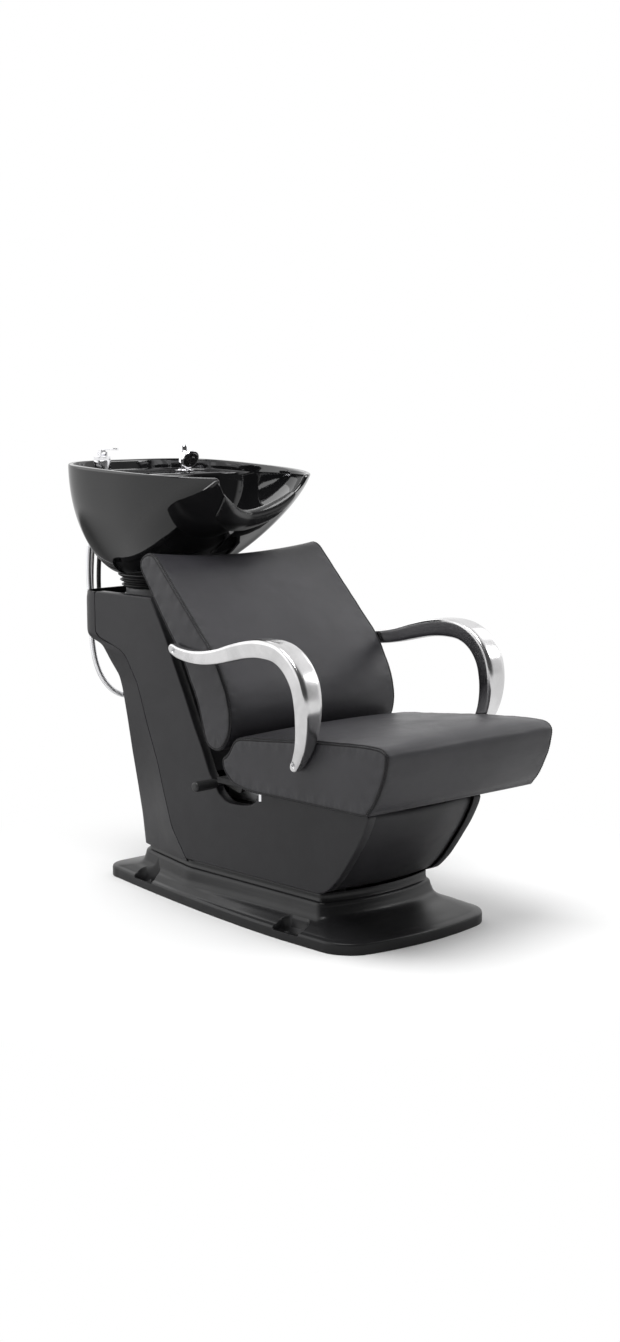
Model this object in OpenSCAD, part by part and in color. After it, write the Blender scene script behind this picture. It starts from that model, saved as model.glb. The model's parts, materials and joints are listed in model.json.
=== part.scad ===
// Salon backwash unit: sliding padded chair on a moulded stand with a tilting ceramic basin.
// The chair faces -Y, the basin is at +Y, and the floor is Z = 0.
// The origin is on the floor in the middle plane, between the front and the rear floor bolts.

/* [Stand] */
// Width of the base flange at the front
base_w = 462; // [446:2:476]
// Width of the base flange at the back
base_rear_w = 280; // [260:2:300]
// From the origin to the flange's front edge
base_front = 474; // [465:1:485]
// From the origin to the flange's back edge
base_rear = 513; // [505:1:525]
// Height of the flange's outer edge
flange_edge = 26; // [22:1:28]
// Wall of the moulded shells
shell_t = 5; // [4:0.5:6]
// Width across the outer faces of the side panels
stand_w = 348; // [340:1:356]
// Thickness of a side panel
panel_t = 22; // [18:1:24]
// Skin of a side panel, with ribs behind it
panel_skin = 5; // [4:0.5:7]
// Height of the base's top edge, under the shadow gap
neck_top = 97; // [92:1:98]
// Height of the side panels' bottom edge
panel_low = 103; // [101:1:106]
// Height of the side panels' edge below the seat
panel_seat_z = 303; // [300:1:304]
// Height of the head block's top edge
head_top = 707; // [700:1:712]
// How far the front cover bulges at its middle
front_bulge = 20; // [10:1:26]

/* [Floor fixing] */
// From the origin to the front floor bolts
bolt_front_y = 256; // [246:2:266]
// From the origin to the rear floor bolts
bolt_rear_y = 326; // [316:2:336]
// Distance between the two front bolts
bolt_front_x = 416; // [412:2:420]
// Distance between the two rear bolts
bolt_rear_x = 300; // [296:2:304]
// Hole for a floor bolt
bolt_hole_d = 13; // [10:0.5:14]
// Width of a bolt pocket in the flange
pocket_w = 84; // [70:2:88]
// Thickness of the steel base plate
plate_t = 6; // [5:0.5:8]

/* [Inner frame] */
// Side of the square uprights
upright_w = 40; // [36:1:44]
// Side of the square seat beams
beam_w = 30; // [28:1:32]
// Wall of the square tubes
tube_t = 3; // [2:0.5:4]
// Distance between the two uprights' centres
frame_gauge = 200; // [196:1:204]
// Height of the seat beams' upper face
beam_top = 258; // [256:1:260]
// Height of the plate that carries the basin yoke
yoke_z = 646; // [640:1:650]

/* [Seat slide] */
// Travel of the seat
slide_travel = 120; // [90:5:120]
// Length of a fixed rail
rail_len = 490; // [470:5:495]
// Width of a fixed rail
rail_w = 40; // [38:1:42]
// Height of a fixed rail
rail_h = 22; // [20:1:24]
// Sheet of the rails
rail_t = 2.5; // [2:0.5:3]
// Play between runner and rail on each side
rail_play = 0.4; // [0.3:0.1:0.6]
// Length of a sliding runner
runner_len = 310; // [280:5:310]

/* [Chair] */
// Width of the seat and back cushions, between the armrests
chair_w = 514; // [490:2:516]
// Crown of the seat cushion
seat_crown = 13; // [6:1:18]
// Crown of the back cushion
back_crown = 12; // [6:1:18]
// Dip of the back's top edge for the neck
neck_dip = 17; // [8:1:20]
// Thickness of the seat board
board_t = 12; // [10:1:12]
// Width of the boards under the padding
board_w = 450; // [430:2:460]
// Width of an armrest at its ends
arm_end_w = 18; // [14:1:24]
// Width of an armrest at its bend
arm_mid_w = 52; // [44:1:56]
// Screw head on the armrests
arm_screw_d = 10; // [8:0.5:11]

/* [Release lever] */
// Diameter of the lever's cross shaft
lever_shaft_d = 10; // [8:0.5:10]
// Running clearance of shafts and pins, on the radius
run_clear = 0.05; // [0.02:0.01:0.1]
// Length of the lever from shaft to grip
lever_arm = 49; // [44:1:50]
// Diameter of the lever's grip
grip_d = 24; // [18:1:26]
// Length of the lever's grip
grip_len = 64; // [50:1:68]

/* [Basin] */
// Half-width of the basin at its rim
basin_hw = 243; // [235:1:248]
// Rim length behind the basin's middle
basin_back = 253; // [246:1:256]
// Rim length ahead of the basin's middle
basin_fore = 315; // [305:1:318]
// Height of the rim at the basin's middle
rim_z = 1003; // [998:1:1006]
// Forward slope of the rim, in degrees
rim_slope = 2.9; // [2:0.1:4]
// Height of the basin's foot
foot_z = 745; // [744:0.5:748]
// Radius of the basin's foot
foot_r = 104; // [100:1:106]
// Wall of the basin at its rim
basin_wall = 13; // [11:0.5:15]
// Depth of the neck cut-out
neck_cut = 88; // [70:2:92]
// Height of the tap shelf
shelf_z = 985; // [982:1:988]
// Thickness of the tap shelf
shelf_t = 28; // [22:1:30]
// Distance between the mixer and the shower holder
tap_gauge = 254; // [240:2:260]
// Hole through the shelf for each fitting
tap_hole_d = 33; // [32:0.5:35]
// Diameter of the basin's hinge pins
hinge_d = 16; // [14:0.5:18]
// How far the rubber neck rest stands off the basin
rest_lift = 0.8; // [0.6:0.1:1.2]
// Thickness of the neck rest's roll over the edge of the basin
rest_roll = 19; // [10:1:22]

/* [Water] */
// Diameter of the shower hose
shower_hose_d = 14; // [12:0.5:15]
// Diameter of a supply hose
supply_hose_d = 11; // [9:0.5:12]
// Diameter of the hand shower's face
spray_d = 50; // [46:1:54]
// Outer diameter of the waste pipe
waste_d = 40; // [32:1:42]

/* [Hidden] */
$fn = 64;

// Seat for pieces that rest on each other without touching
rest_gap = 0.3;
stand_hw = stand_w / 2;
arm_in = chair_w / 2 + rest_gap;
panel_in = stand_hw - panel_t;
frame_x = frame_gauge / 2;
tap_x = tap_gauge / 2;
tap_y = 515;
hinge_y = 454;
hinge_z = 702;
yoke_t = 6;
slide_base = beam_top + rest_gap;
board_low = slide_base + rail_h + 37.7;
board_top = board_low + board_t;

// Stand sections: height, where the side starts to turn in, corner place and corner radius
column_table = [
    [neck_top, 150, 120, 392, 34], [170, 207, 120, 402, 34], [240, 232, 120, 418, 34],
    [320, 258, 120, 438, 34], [400, 293, 120, 455, 34], [470, 320, 120, 472, 34],
    [500, 332, 120, 484, 34], [530, 354, 122, 514, 36], [556, 372, 126, 534, 40],
    [574, 392, 132, 543, 44], [584, 435, 150, 550, 50], [592, 478, 168, 556, 56],
    [604, 494, 174, 560, 60], [690, 494, 174, 560, 60], [head_top, 494, 174, 552, 56]];
function column_at(z, k) = lookup(z, [for (row = column_table) [row[0], row[k]]]);
function side_y(z) = column_at(z, 1);

// General helpers
function mix(a, b, t) = a * (1 - t) + b * t;
function mirrored(half) = concat(half, [for (i = [len(half) - 2:-1:1]) [-half[i][0], half[i][1]]]);
function arc_pts(cx, cy, r, a0, a1, n) =
    [for (i = [0:n]) let (a = mix(a0, a1, i / n)) [cx + r * cos(a), cy + r * sin(a)]];
function quad(a, b, c, n) =
    [for (i = [0:n]) let (t = i / n) (1 - t) * (1 - t) * a + 2 * t * (1 - t) * b + t * t * c];
function spline_at(p, i, t) =
    let (a = p[max(i - 1, 0)], b = p[i], c = p[min(i + 1, len(p) - 1)], d = p[min(i + 2, len(p) - 1)])
    0.5 * (2 * b + (c - a) * t + (2 * a - 5 * b + 4 * c - d) * t * t
           + (3 * b - a - 3 * c + d) * t * t * t);
function spline(p, steps) =
    concat([for (i = [0:len(p) - 2], s = [0:steps - 1]) spline_at(p, i, s / steps)], [p[len(p) - 1]]);
function mean(pts) = [for (k = [0:2]) mean_of([for (p = pts) p[k]])];
function mean_of(v) = v * [for (i = v) 1] / len(v);
function unit(v) = v / norm(v);
function lifted(ring, z) = [for (p = ring) [p[0], p[1], z]];

// Skin over rings of equal counts: rings run counter-clockwise seen from the last one
module skin(rings, looped = false) {
    n = len(rings[0]);
    m = len(rings);
    count = n * m;
    walls = [for (j = [0:looped ? m - 1 : m - 2], i = [0:n - 1])
        let (a = j * n + i, b = j * n + (i + 1) % n,
             c = ((j + 1) % m) * n + (i + 1) % n, d = ((j + 1) % m) * n + i)
        each [[a, c, b], [a, d, c]]];
    low = [for (i = [0:n - 1]) [count, i, (i + 1) % n]];
    high = [for (i = [0:n - 1]) [count + 1, (m - 1) * n + (i + 1) % n, (m - 1) * n + i]];
    pts = [for (ring = rings) each ring];
    if (looped)
        polyhedron(pts, walls);
    else
        polyhedron(concat(pts, [mean(rings[0]), mean(rings[m - 1])]), concat(walls, low, high));
}

// Sheet between an outer and an inner grid of the same size
module sheet(outer, inner) {
    m = len(outer);
    n = len(outer[0]);
    k = m * n;
    face = [for (j = [0:m - 2], i = [0:n - 2])
        let (a = j * n + i, b = a + 1, c = a + n + 1, d = a + n)
        each [[a, c, b], [a, d, c], [k + a, k + b, k + c], [k + a, k + c, k + d]]];
    low = [for (i = [0:n - 2]) each [[i, i + 1, k + i + 1], [i, k + i + 1, k + i]]];
    high = [for (i = [0:n - 2]) let (a = (m - 1) * n + i) each [[a, k + a + 1, a + 1], [a, k + a, k + a + 1]]];
    left = [for (j = [0:m - 2]) let (a = j * n, d = a + n) each [[a, k + d, d], [a, k + a, k + d]]];
    right = [for (j = [0:m - 2]) let (a = j * n + n - 1, d = a + n) each [[a, d, k + d], [a, k + d, k + a]]];
    polyhedron(concat([for (r = outer) each r], [for (r = inner) each r]),
               concat(face, low, high, left, right));
}

// Outline in Y and Z, given depth along X from x0 to x1
module across(points, x0, x1) {
    translate([x0, 0, 0]) rotate([90, 0, 90]) linear_extrude(x1 - x0) polygon(points);
}
module rod_x(x0, x1, y, z, r) {
    translate([x0, y, z]) rotate([0, 90, 0]) cylinder(r = r, h = x1 - x0);
}
module square_tube(size, wall, h) {
    difference() {
        translate([-size / 2, -size / 2, 0]) cube([size, size, h]);
        translate([-size / 2 + wall, -size / 2 + wall, -1]) cube([size - 2 * wall, size - 2 * wall, h + 2]);
    }
}
module both_sides() {
    children();
    mirror([1, 0, 0]) children();
}

// Base flange in plan, front middle to back middle, drawn in by d
flange_taper_y = -250;
flange_corner = 84;
flange_rear_corner = 60;
flange_side_front = base_front - 16;
function flange_x(y) =
    let (t = max(0, (y - flange_taper_y) / (base_rear - flange_taper_y)))
    base_w / 2 - (base_w - base_rear_w) / 2 * pow(t, 1.5);
function flange_half(d) =
    let (xf = base_w / 2 - flange_corner, yr = base_rear - flange_rear_corner,
         xr = flange_x(yr) - flange_rear_corner, y0 = -(flange_side_front - flange_corner))
    concat([for (i = [0:3]) let (x = xf * i / 4) [x, d - flange_side_front - 16 * (1 - pow(x / xf, 2))]],
           arc_pts(xf, y0, flange_corner - d, -90, 0, 6),
           [for (i = [1:10]) let (y = mix(y0, yr, i / 11)) [flange_x(y) - d, y]],
           arc_pts(xr, yr, flange_rear_corner - d, 0, 90, 5), [[0, base_rear - d]]);

// Top of the base in plan, with the same number of points
neck_corner = 18;
neck_side_front = 318;
neck_bulge = 26;
function neck_side_x(y) =
    let (ya = side_y(neck_top), yb = column_at(neck_top, 3))
    y < ya ? stand_hw : mix(stand_hw, column_at(neck_top, 2), (y - ya) / (yb - ya));
function neck_half(d) =
    let (xf = stand_hw - neck_corner, y0 = -(neck_side_front - neck_corner),
         rc = column_at(neck_top, 4), yb = column_at(neck_top, 3), y1 = yb - rc,
         xb = column_at(neck_top, 2))
    concat([for (i = [0:3]) let (x = xf * i / 4) [x, d - neck_side_front - neck_bulge * (1 - pow(x / xf, 2))]],
           arc_pts(xf, y0, neck_corner - min(d, neck_corner - 1), -90, 0, 6),
           [for (i = [1:10]) let (y = mix(y0, y1, i / 11)) [neck_side_x(y) - d, y]],
           quad([neck_side_x(y1) - d, y1], [xb - d, yb - d], [xb - rc, yb + 2 - d], 5), [[0, yb + 8 - d]]);
function base_ring(z, blend, d) =
    let (a = flange_half(d), b = neck_half(d))
    lifted(mirrored([for (i = [0:len(a) - 1]) mix(a[i], b[i], blend)]), z);
base_outer = [for (s = [[0, 0, 0], [flange_edge - 5, 0, 0], [flange_edge, 0, 4],
                        [flange_edge + 5, 0.14, 6], [40, 0.55, 0], [46, 0.8, 0], [54, 0.92, 0],
                        [68, 0.98, 0], [neck_top, 1, 0]])
              base_ring(s[0], s[1], s[2])];
base_inner = [for (s = [[panel_low, 1, 12], [neck_top - 6, 1, 12], [neck_top - 6, 1, shell_t],
                        [62, 0.98, shell_t], [48, 0.92, shell_t], [40, 0.8, shell_t], [34, 0.55, shell_t],
                        [flange_edge, 0.14, 6 + shell_t], [flange_edge - 5, 0, 4 + shell_t],
                        [flange_edge - 9, 0, shell_t], [0, 0, shell_t]])
              base_ring(s[0], s[1], s[2])];
base_step = [base_ring(neck_top, 1, 7), base_ring(panel_low, 1, 7)];

// A bolt pocket: a rounded well behind the flange's edge, whose top is cut lower in front of it
pocket_round = 20;
pocket_wall = 4;
pocket_deep = flange_x(bolt_rear_y) - frame_x - upright_w / 2 - pocket_wall - 4.3;
pocket_sill = 18;
edge_wall = 6;
module pocket(y, grow, z0, h) {
    edge = flange_x(y);
    inner = edge - pocket_deep - grow;
    w = pocket_w + 2 * grow;
    r = pocket_round + grow;
    translate([0, y, 0]) {
        translate([inner + r, -w / 2, z0]) cube([edge - edge_wall - inner - r, w, h]);
        translate([inner, -w / 2 + r, z0]) cube([r + 1, w - 2 * r, h]);
        for (s = [-1, 1]) translate([inner + r, s * (w / 2 - r), z0]) cylinder(r = r, h = h);
        translate([edge - edge_wall - 1, -w / 2, pocket_sill]) cube([30, w, h]);
    }
}
module pockets(grow, z0, h) {
    both_sides() for (y = [-bolt_front_y, bolt_rear_y]) pocket(y, grow, z0, h);
}

module base_shell() {
    color([0.07, 0.07, 0.075]) difference() {
        union() {
            skin(concat(base_outer, base_step, base_inner), looped = true);
            intersection() {
                skin(base_outer);
                pockets(pocket_wall, plate_t + rest_gap, neck_top);
            }
        }
        pockets(0, plate_t + rest_gap, neck_top);
    }
}

plate_inset = shell_t + 0.6;
module base_plate() {
    color([0.12, 0.12, 0.12]) difference() {
        linear_extrude(plate_t) polygon(mirrored(flange_half(plate_inset)));
        for (sx = [-1, 1]) {
            translate([sx * bolt_front_x / 2, -bolt_front_y, -1]) cylinder(d = bolt_hole_d, h = plate_t + 2);
            translate([sx * bolt_rear_x / 2, bolt_rear_y, -1]) cylinder(d = bolt_hole_d, h = plate_t + 2);
        }
        translate([-40, 120, -1]) cube([80, 70, plate_t + 2]);
        translate([0, pipe_y, -1]) cylinder(r = waste_r + 14, h = plate_t + 2);
    }
}

// Side panel outline in Y and Z, from the head's front corner round by the front
panel_front = [[-458, 296], [-453, 280], [-441, 256], [-427, 232], [-409, 206], [-389, 178],
               [-369, 152], [-347, 129], [-326, 112], [-300, panel_low]];
panel_slant = [[278, head_top], [242, 655], [212, 604], [186, 553], [156, 498], [120, 427],
               [91, 375], [66, 324], [45, 297], [32, 279], [13, 266], [-6, 261], [-35, 261],
               [-70, 265], [-86, 271], [-97, 281], [-103, 296], [-112, panel_seat_z]];
panel_rear = [for (row = column_table) if (row[0] < head_top) [row[1] - rest_gap, max(row[0], panel_low)]];
panel_outline = concat(panel_slant, [[-452, panel_seat_z]], panel_front,
                       [[side_y(panel_low) - rest_gap, panel_low]],
                       [for (i = [1:len(panel_rear) - 1]) panel_rear[i]],
                       [[side_y(head_top) - rest_gap, head_top - 6], [side_y(head_top) - 8, head_top]]);

// Outline drawn in by d along the corner bisectors
function drawn_in(p, d) = [for (i = [0:len(p) - 1])
    let (n = len(p), a = p[(i + n - 1) % n], b = p[i], c = p[(i + 1) % n],
         u = unit(b - a), v = unit(c - b), q = [-u[1] - v[1], u[0] + v[0]])
    b + d * q / max(0.6, 1 + u * v)];

rib_y = [-330, -210, 70, 160, 260];
module side_panel() {
    color([0.09, 0.09, 0.095]) {
        difference() {
            across(panel_outline, panel_in, stand_hw);
            across(drawn_in(panel_outline, panel_skin), panel_in - 1, stand_hw - panel_skin);
        }
        for (y = rib_y) intersection() {
            across(drawn_in(panel_outline, panel_skin / 2), panel_in, stand_hw - panel_skin / 2);
            translate([panel_in, y - 1.5, 0]) cube([panel_t, 3, head_top]);
        }
    }
}
module side_panel_left() { side_panel(); }
module side_panel_right() { mirror([1, 0, 0]) side_panel(); }

// Rear half of the column in plan at height z, drawn in by d, from the panel seam to the middle
function column_half(z, d) =
    let (ya = side_y(z), xb = column_at(z, 2), yb = column_at(z, 3), r = column_at(z, 4),
         a = [stand_hw, ya], b = [xb, yb], u = unit(b - a), p = b - u * r, q = [xb - r, yb + 2])
    concat([[stand_hw - d, ya], [mix(stand_hw, p[0], 0.5) - d, mix(ya, p[1], 0.5) - d * u[0] * -0.2]],
           quad([p[0] - d, p[1] - d * 0.2], b - [d, d], q - [0, d], 5),
           [[q[0] / 2, yb + 6 - d], [0, yb + 8 - d]]);
function column_ring(z, d, zz) =
    let (h = column_half(z, d), n = len(h))
    lifted(concat(h, [for (i = [n - 2:-1:0]) [-h[i][0], h[i][1]]]), zz);
column_z = [for (row = column_table) row[0]];
gland_x = -104;
gland_z = 640;
module column_shell() {
    color([0.09, 0.09, 0.095]) difference() {
        sheet([for (z = column_z) column_ring(z, 0, max(z, neck_top + rest_gap))],
              [for (z = column_z) column_ring(z, shell_t, max(z, neck_top + rest_gap))]);
        for (s = [0, 1])
            translate([gland_x + s * 22, 590, gland_z]) rotate([90, 0, 0]) cylinder(d = 19, h = 60);
    }
}

// Front cover between the side panels, bulging at its middle
cover_set_back = 8;
cover_profile = concat([[-452, panel_seat_z - 3]], panel_front);
function cover_grid(t) = [for (i = [0:len(cover_profile) - 1])
    let (p = cover_profile[i], q = cover_profile[min(i + 1, len(cover_profile) - 1)],
         o = cover_profile[max(i - 1, 0)], u = unit(q - o), w = panel_in - rest_gap)
    [for (k = [-6:6]) let (f = k / 6)
        [f * w, p[0] + cover_set_back - front_bulge * (1 - f * f) - t * u[1],
         max(p[1] + t * u[0], panel_low + rest_gap)]]];
module front_cover() {
    color([0.08, 0.08, 0.085]) sheet(cover_grid(shell_t), cover_grid(0));
}

// Sloping cover that closes the column behind the chair
slope_profile = [for (i = [0:7]) panel_slant[i] + [14, -6]];
module slope_cover() {
    back = [for (i = [7:-1:0]) slope_profile[i] + [4, -2]];
    color([0.08, 0.08, 0.085]) across(concat(slope_profile, back), -panel_in + rest_gap, panel_in - rest_gap);
}

deck_z = 690;
deck_t = 6;
collar_ro = 86;
collar_ri = 78;
deck_front = 296;
module head_deck() {
    inner = column_half(deck_z, shell_t + rest_gap);
    edge = [for (p = inner) if (p[0] <= panel_in - rest_gap) p];
    half = concat([[0, deck_front], [panel_in - rest_gap, deck_front],
                   [panel_in - rest_gap, side_y(deck_z)]], edge);
    color([0.1, 0.1, 0.105]) difference() {
        translate([0, 0, deck_z - deck_t]) linear_extrude(deck_t) polygon(mirrored(half));
        translate([0, hinge_y, deck_z - deck_t - 1]) cylinder(r = collar_ri, h = deck_t + 2);
        for (p = deck_bolt_at) translate([p[0], p[1], deck_z - deck_t - 1]) cylinder(d = 8.4, h = deck_t + 2);
    }
}
deck_bolt_at = [[-120, 530], [120, 530], [-130, 330], [130, 330]];
module deck_bolts() {
    color([0.05, 0.05, 0.05]) for (p = deck_bolt_at) translate([p[0], p[1], deck_z]) {
        translate([0, 0, -deck_t - 6]) cylinder(d = 8, h = deck_t + 6.2);
        translate([0, 0, 0.1]) cylinder(d = 16, h = 5, $fn = 6);
    }
}
module neck_collar() {
    color([0.55, 0.55, 0.56]) translate([0, hinge_y, deck_z]) difference() {
        union() {
            cylinder(r = collar_ro, h = 20);
            cylinder(r = collar_ro + 4, h = 4);
        }
        translate([0, 0, -1]) cylinder(r = collar_ri, h = 22);
    }
}

upright_y = 312;
post_y = -270;
module uprights() {
    color([0.1, 0.1, 0.1]) both_sides() translate([frame_x, upright_y, plate_t])
        square_tube(upright_w, tube_t, yoke_z - yoke_t - plate_t);
}
beam_front = -405;
module seat_beams() {
    color([0.1, 0.1, 0.1]) both_sides()
        translate([frame_x, upright_y - upright_w / 2, beam_top - beam_w / 2]) rotate([90, 0, 0])
            square_tube(beam_w, tube_t, upright_y - upright_w / 2 - beam_front);
}
module front_posts() {
    color([0.1, 0.1, 0.1]) both_sides() translate([frame_x, post_y, plate_t])
        square_tube(upright_w, tube_t, beam_top - beam_w - plate_t);
}
bar_w = 20;
bar_at = [-400, -100];
rear_bar_z = 560;
module cross_bars() {
    span = frame_x - beam_w / 2;
    color([0.1, 0.1, 0.1]) {
        for (y = bar_at) translate([-span, y - bar_w / 2, beam_top - beam_w]) cube([2 * span, bar_w, bar_w]);
        translate([-frame_x + upright_w / 2, upright_y - bar_w / 2, rear_bar_z])
            cube([frame_gauge - upright_w, bar_w, bar_w]);
    }
}

// Yoke: a plate on the uprights with two ears that hold the basin's hinge pins
ear_x = 62;
ear_t = 6;
yoke_rear = 520;
module yoke() {
    color([0.12, 0.12, 0.12]) difference() {
        union() {
            translate([-frame_x - upright_w / 2, upright_y - upright_w / 2, yoke_z - yoke_t])
                cube([frame_gauge + upright_w, yoke_rear - upright_y + upright_w / 2, yoke_t]);
            for (s = [-1, 1]) translate([s * ear_x - ear_t / 2, hinge_y - 20, yoke_z]) {
                cube([ear_t, 40, hinge_z - yoke_z]);
                translate([0, 20, hinge_z - yoke_z]) rotate([0, 90, 0]) cylinder(r = 20, h = ear_t);
            }
        }
        rod_x(-90, 90, hinge_y, hinge_z, hinge_d / 2 + run_clear);
        translate([0, waste_y, yoke_z - yoke_t - 1]) cylinder(r = waste_r + pipe_wall + rest_gap, h = yoke_t + 2);
    }
}

rail_back = 60;
lip = 8;
module rail_section() {
    w = rail_w / 2;
    difference() {
        translate([-w, 0]) square([rail_w, rail_h]);
        translate([-w + rail_t, rail_t]) square([rail_w - 2 * rail_t, rail_h - 2 * rail_t]);
        translate([-w + lip + rail_t, rail_h - rail_t - 1]) square([rail_w - 2 * lip - 2 * rail_t, rail_t + 2]);
    }
}
module seat_rails() {
    color([0.45, 0.45, 0.46]) both_sides() translate([frame_x, rail_back, slide_base])
        rotate([90, 0, 0]) linear_extrude(rail_len) rail_section();
}
runner_back = 0;
module runner_section() {
    w = rail_w / 2 - rail_t - rail_play;
    stem = rail_w / 2 - lip - rail_t - rail_play - 0.3;
    h = board_low - slide_base;
    translate([-w, rail_t + rest_gap]) square([2 * w, rail_h - 2 * rail_t - rest_gap - rail_play]);
    translate([-stem, rail_t + rest_gap]) square([2 * stem, h - rail_t - rest_gap]);
    translate([-rail_w / 2, h - 4]) square([rail_w, 4]);
}
module runners() {
    color([0.5, 0.5, 0.51]) difference() {
        both_sides() translate([frame_x, runner_back, slide_base])
            rotate([90, 0, 0]) linear_extrude(runner_len) runner_section();
        rod_x(-frame_x - rail_w, -frame_x + rail_w, lever_y, lever_z, lever_shaft_d / 2 + 1);
    }
}

// Rubber gland for the two supply hoses in the back of the head block
module hose_gland() {
    color([0.04, 0.04, 0.04]) for (s = [0, 1])
        translate([gland_x + s * 22, 0, gland_z]) rotate([-90, 0, 0]) difference() {
            union() {
                translate([0, 0, column_back(gland_x + s * 22) - 12]) cylinder(d = 18.4, h = 17);
                translate([0, 0, column_back(gland_x + s * 22) + 1.2]) cylinder(d = 20.5, h = 4);
            }
            translate([0, 0, 500]) cylinder(d = supply_hose_d + 1.2, h = 100);
        }
}
function column_back(x) = column_at(gland_z, 3) + 8 - 6 * pow(abs(x) / 114, 2);

waste_y = 418;
waste_r = waste_d / 2;
pipe_y = 340;
pipe_wall = 3;
outlet_z = 4;
outlet_len = 126;
offset_z = 432;
socket_z = 600;
module waste_pipe() {
    color([0.75, 0.75, 0.75]) difference() {
        union() {
            translate([0, waste_y, socket_z]) cylinder(r = waste_r + pipe_wall, h = 60);
            translate([0, pipe_y, outlet_z]) cylinder(r = waste_r, h = offset_z - outlet_z);
            translate([0, pipe_y, outlet_z + outlet_len]) cylinder(r = waste_r + pipe_wall, h = 36);
            hull() {
                translate([0, pipe_y, offset_z - 2]) cylinder(r = waste_r, h = 4);
                translate([0, waste_y, socket_z - 2]) cylinder(r = waste_r, h = 4);
            }
        }
        translate([0, waste_y, socket_z + 6]) cylinder(r = waste_r + 0.2, h = 60);
        translate([0, pipe_y, outlet_z - 1]) cylinder(r = waste_r - pipe_wall, h = offset_z - outlet_z - 10);
    }
}

// Screws that hold each side panel to the column and beams
panel_screw_at = [[-270, 150], [-200, 240], [190, 480], [290, 640], [190, 180]];
module panel_screws() {
    color([0.3, 0.3, 0.3]) both_sides() for (p = panel_screw_at)
        rod_x(panel_in - 12, stand_hw - panel_skin - rest_gap, p[0], p[1], 3);
}

board_front = -512;
board_step = -25;
board_back = 12;
tongue_w = 2 * (panel_in - 3);
module seat_board() {
    color([0.08, 0.07, 0.06]) difference() {
        union() {
            translate([-board_w / 2, board_front, board_low]) cube([board_w, board_step - board_front, board_t]);
            translate([-tongue_w / 2, board_step - 1, board_low]) cube([tongue_w, board_back - board_step + 1, board_t]);
        }
        for (s = [-1, 1], y = [seat_bolt_y, stud_y])
            translate([s * seat_bolt_x, y, board_low - 1]) cylinder(d = 8.4, h = board_t + 2);
    }
}
seat_bolt_x = 200;
seat_bolt_y = -38;
stud_y = -143;
module seat_bolts() {
    color([0.8, 0.8, 0.82]) both_sides() {
        translate([seat_bolt_x, seat_bolt_y, board_low - 6]) cylinder(d = 8, h = board_t + 6.2);
        translate([seat_bolt_x, seat_bolt_y, board_top + 0.2]) cylinder(d = 15, h = 5.5, $fn = 6);
        translate([seat_bolt_x, stud_y, board_low - 29]) cylinder(d = 8, h = board_t + 28);
        translate([seat_bolt_x, stud_y, board_low - 7]) cylinder(d = 15, h = 6.6, $fn = 6);
    }
}

// Cushion over stations across its width: the profile swells by the crown and is drawn in at the ends
function normal_at(p, i) =
    let (n = len(p), u = unit(p[(i + 1) % n] - p[(i + n - 1) % n])) [u[1], -u[0]];
function swell(f, crown) = crown * (1 - pow(abs(f), 2.6));
cushion_stations = [-1, -0.985, -0.93, -0.78, -0.52, -0.26, 0, 0.26, 0.52, 0.78, 0.93, 0.985, 1];
module cushion(profile, hw, crown, dip) {
    c = mean_of([for (p = profile) p[0]]);
    e = mean_of([for (p = profile) p[1]]);
    flat = [for (p = profile) [p[0], p[1]]];
    core = [for (p = flat) mix([c, e], p, 0.45)];
    body = [for (f = cushion_stations)
        let (end = abs(f) > 0.99 ? 5 : abs(f) > 0.98 ? 1.2 : 0)
        [for (i = [0:len(profile) - 1])
            let (p = profile[i], q = flat[i] + (swell(f, crown) * p[2] - end) * normal_at(flat, i))
            [f * hw, q[0], q[1] - p[3] * dip * (1 - f * f)]]];
    caps = [[for (p = core) [-hw, p[0], p[1]]], [for (p = core) [hw, p[0], p[1]]]];
    skin(concat([caps[0]], body, [caps[1]]));
}
// Profiles in Y and Z run counter-clockwise with -X towards the eye; then each point's share of
// the crown and of the dip
seat_profile = [[-76, 384, 0, 0], [-90, 392, 0, 0], [-103, 408, 0, 0], [-114, 425, 0, 0],
                [-130, 435, 0.5, 0], [-152, 439, 1, 0],
                [-230, 446, 1, 0], [-310, 454, 1, 0], [-380, 461, 1, 0], [-450, 466, 1, 0],
                [-510, 470, 1, 0], [-556, 471, 1, 0], [-582, 467, 1, 0], [-594, 455, 1, 0],
                [-592, 432, 1, 0], [-585, 405, 1, 0], [-570, 372, 0.9, 0], [-556, 347, 0.5, 0],
                [-541, 331, 0.1, 0], [-524, 320, 0, 0], [-400, 320, 0, 0], [-260, 320, 0, 0],
                [-180, 320, 0, 0], [-120, 328, 0, 0], [-92, 345, 0, 0], [-78, 364, 0, 0]];
back_profile = [[-82, 409, 0, 0], [-58, 396, 0, 0], [-28, 404, 0, 0], [-14, 427, 0, 0],
                [10, 500, 0, 0], [34, 543, 0, 0], [60, 590, 0, 0], [98, 637, 0, 0],
                [127, 673, 0, 0], [155, 710, 0, 0], [187, 755, 0, 0.2], [203, 775, 0, 0.6],
                [209, 792, 0, 0.9], [205, 807, 0, 1], [190, 818, 0.1, 1], [170, 822, 0.2, 1],
                [154, 817, 0.4, 1], [138, 802, 0.7, 0.8], [118, 782, 0.9, 0.5], [85, 748, 1, 0.2],
                [55, 718, 1, 0], [28, 691, 1, 0], [-5, 657, 1, 0], [-34, 629, 1, 0],
                [-58, 598, 1, 0], [-76, 566, 1, 0], [-91, 538, 1, 0], [-100, 512, 1, 0],
                [-106, 480, 0.9, 0], [-102, 440, 0.4, 0]];
function turned(p) = [for (i = [len(p) - 1:-1:0]) p[i]];
module seat_cushion() {
    color([0.12, 0.12, 0.125])
        difference() {
            cushion(seat_profile, chair_w / 2, seat_crown, 0);
            translate([-board_w / 2 - 0.5, board_front - 0.5, board_top - 40])
                cube([board_w + 1, board_step - board_front + 60, 40 + rest_gap]);
        }
}
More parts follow.
